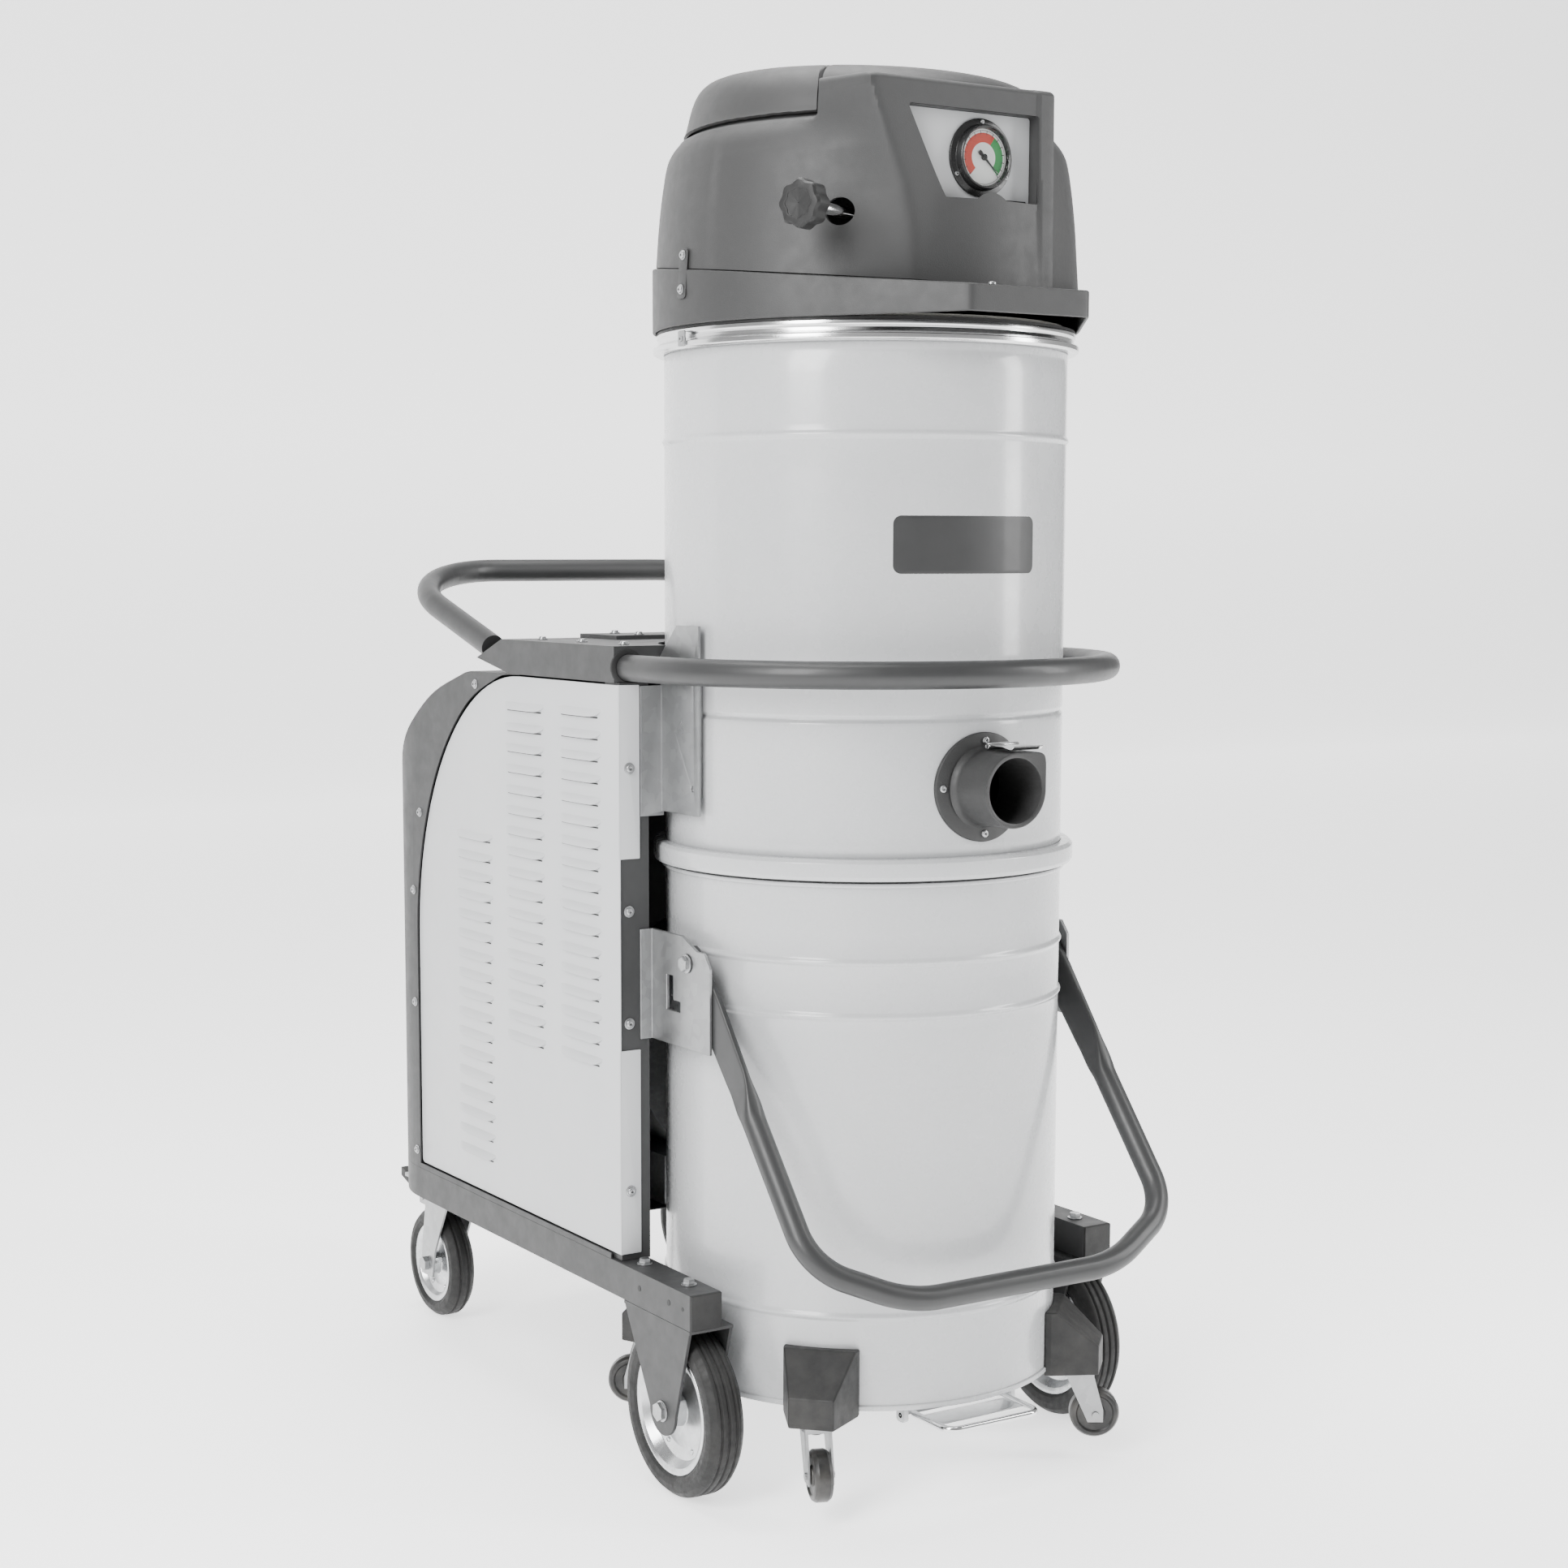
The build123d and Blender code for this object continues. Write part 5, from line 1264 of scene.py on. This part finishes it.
def wire_pull():
    """Bent wire under the container with its step plate and the eye rod it turns on."""
    half, z = 62.0, 100.0
    corners = [(-half, -195, z), (-half, -267, z), (half, -267, z), (half, -195, z)]
    wire = carried(tube_path(corners, np.array([1, 14, 14, 1.0]), 5.0), (0, 0, 1), 4.0, 4.0, 16)
    eye = spun(rounded([(0.01, -78), (4, -78), (4, 78), (0.01, 78)], 0.8, 3), (0, -195, z), (1, 0, 0), 20)
    step = slab(box_outline(-half, -246, half, -209, 3), 2.0, 0.5, facing_up(z - 1))
    return gathered(wire, eye, step)


def trolley_screws():
    """Button screws of the panels and covers, and the bolts down through the rails."""
    parts = [button_screw((282, 54, z), (0, -1, 0), 4.6, 6.6) for z in (330, 817)]
    parts += [button_screw((282, 56, z), (0, -1, 0), 4.6, 6.6) for z in (525, 654)]
    strip = 602.0
    for y, z in ((strip, 271), (strip, 470), (strip, 619), (strip - 22, 723), (strip - 190, 897)):
        parts.append(button_screw((HALF_WIDTH - 0.2, y, z), (1, 0, 0), 4.2, 6.0))
    for y in (34, -65):
        parts.append(hex_bolt((HALF_WIDTH - 22, y, 248), (0, 0, 1), 12, 5.5, 9.0))
    return both_sides(*parts)


def rail_holes():
    """Black discs in the rail's outer face: painted shade inside its holes."""
    parts = []
    for y, z, r in ((-58, 229, 3.4), (-88, 229, 2.4), (8, 229, 3.4)):
        ring = [(0.01, 0.35), (r, 0.35), (r, -0.6), (0.01, -0.6)]
        parts.append(spun(ring, (HALF_WIDTH, y, z), (1, 0, 0), 24))
    return both_sides(*parts)


def box_fittings():
    """Screws on the top box and its lid."""
    parts = []
    for x, y in ((-150, 262), (150, 262), (-150, 322), (150, 322)):
        parts.append(button_screw((x, y, 959.5), (0, 0, 1), 4.4, 6.4))
    for x in (-262, 262):
        for y in (100, 200, 300):
            parts.append(button_screw((x, y, 954.5), (0, 0, 1), 4.4, 6.4))
    return gathered(*parts)


def tube_collars():
    line = rounded([(15.0, -3), (21.5, -3), (21.5, 0.8), (15.0, 2.2)], 0.8, 4)
    return both_sides(spun(line, (280, 60, HOOP_Z), (0, -1, 0), 40))


def make_trolley():
    for node, finish, width, slot in (("chassis_frame", dark_enamel, 1.4, "dark_enamel"),
                                      ("rail_end_caps", black_plastic, 1.6, "black_plastic"),
                                      ("rear_cover", dark_enamel, 0.8, "dark_enamel"),
                                      ("cabinet_posts", dark_enamel, 0.9, "dark_enamel"),
                                      ("top_box", dark_enamel, 1.3, "dark_enamel"),
                                      ("chamber_brackets", zinc, 0.7, "zinc_plate"),
                                      ("lever_brackets", zinc, 0.8, "zinc_plate"),
                                      ("switch_knob", black_plastic, 1.0, "black_plastic"),
                                      ("switch_plate", panel_sheet, 0.8, "panel_sheet"),
                                      ("control_box", dark_enamel, 1.5, "control_grey")):
        dressed(node, finish, width)
    piece("louvred_side_panels", side_panel(), panel_enamel, "trolley", ["side_panels"])
    # Black strips under the louvre lips: painted shade standing in for the open slots.
    piece("louvre_gaps", louvre_gaps(), black_plastic, "trolley")
    piece("front_hoop", hoop(), tube_enamel, "trolley", ["hoop_tube"])
    piece("rear_push_handle", push_handle(), tube_enamel, "trolley", ["push_handle"])
    piece("lifting_lever", lifting_lever(), tube_enamel, "lever", ["lever_bar"])
    piece("container_pull", wire_pull(), wire_chrome, "bail", ["wire_bail"])
    piece("trolley_screws", trolley_screws(), bolt_zinc, "trolley", ["frame_screws"])
    # Black discs in the rail holes: painted shade inside the holes.
    piece("rail_hole_plugs", rail_holes(), black_plastic, "trolley")
    piece("top_box_screws", box_fittings(), bolt_zinc, "trolley")
    piece("hoop_collars", tube_collars(), black_plastic, "trolley")
    pivots = both_sides(hex_bolt((254.5, -25, 603), (1, 0, 0), 15, 5.0, 11.0))
    piece("lever_pivot_bolts", pivots, bolt_zinc, "trolley")


def finish_inner_parts():
    """CAD pieces that keep their own shape and only take a finish."""
    plain = {"seals": black_plastic, "star_filter": filter_cloth, "blower_housing": cast_metal,
             "impeller": cast_metal, "motor": cast_metal, "suction_duct": tube_enamel,
             "front_axles": bolt_zinc}
    for node, finish in plain.items():
        mesh = nodes[node].data
        mesh.materials.clear()
        mesh.materials.append(finish)


# ---------------------------------------------------------------- floor, light and camera

def make_studio():
    f = Finish("pale_floor", grey(0.97))
    marks = f.group(breakup, Scale=1.5)
    f.colour_over(marks["Tone"], grey(0.96))
    f.gloss(marks["Patches"], 0.75, 0.85)
    f.shader.inputs["Emission Color"].default_value = (1.0, 1.0, 1.0, 1.0)
    f.shader.inputs["Emission Strength"].default_value = 1.4
    size, bend = 9.0, 1.6
    y = np.concatenate([np.linspace(-size, size - bend, 20),
                        size - bend + bend * np.sin(np.linspace(0.1, pi / 2, 12)), [size]])
    z = np.concatenate([np.zeros(20), bend - bend * np.cos(np.linspace(0.1, pi / 2, 12)), [size]])
    x = np.linspace(-size * 1.4, size * 1.4, 24)
    grid = np.stack(np.broadcast_arrays(x[:, None], y[None], z[None]), -1)
    mesh = bpy.data.meshes.new("studio_floor")
    points, faces = net(grid)
    mesh.from_pydata(points, [], faces)
    mesh.shade_smooth()
    floor = placed("studio_floor", mesh)
    mesh.materials.append(f.material)
    world = bpy.data.worlds.new("studio_air")
    world.use_nodes = True
    sky = world.node_tree.nodes["Background"]
    sky.inputs["Color"].default_value = (1.0, 1.0, 1.0, 1.0)
    sky.inputs["Strength"].default_value = 0.45
    bpy.context.scene.world = world
    aim = np.array([0.0, AXIS_Y * MM + 0.1, 0.85])
    for name, place, extent, power in (("key_box", (-2.9, -1.5, 2.6), (1.2, 2.6), 190),
                                       ("fill_box", (2.8, -2.2, 2.0), (0.8, 2.6), 95),
                                       ("top_box_light", (0.0, 0.2, 3.6), (2.2, 2.2), 120)):
        light = bpy.data.lights.new(name, "AREA")
        light.shape = "RECTANGLE"
        light.size, light.size_y = extent
        light.energy = power
        lamp = placed(name, light)
        lamp.location = place
        direction = aim - np.array(place)
        yaw = atan2(direction[1], direction[0])
        tilt = atan2(direction[2], hypot(direction[0], direction[1]))
        lamp.rotation_euler = (pi / 2 + tilt, 0.0, yaw - pi / 2)


def make_camera():
    lens = bpy.data.cameras.new("view_camera")
    lens.sensor_width = 36.0
    lens.lens = 58.91
    lens.shift_x = 0.0370
    lens.shift_y = 0.0469
    camera = placed("view_camera", lens)
    camera.location = (-1.6996, -2.45795 + AXIS_Y * MM, 1.05984)
    camera.rotation_euler = (radians(90 - 6.802), 0.0, radians(-31.609))
    bpy.context.scene.camera = camera


make_camera()
make_studio()
make_drum()
make_head()
make_running_gear()
make_trolley()
finish_inner_parts()
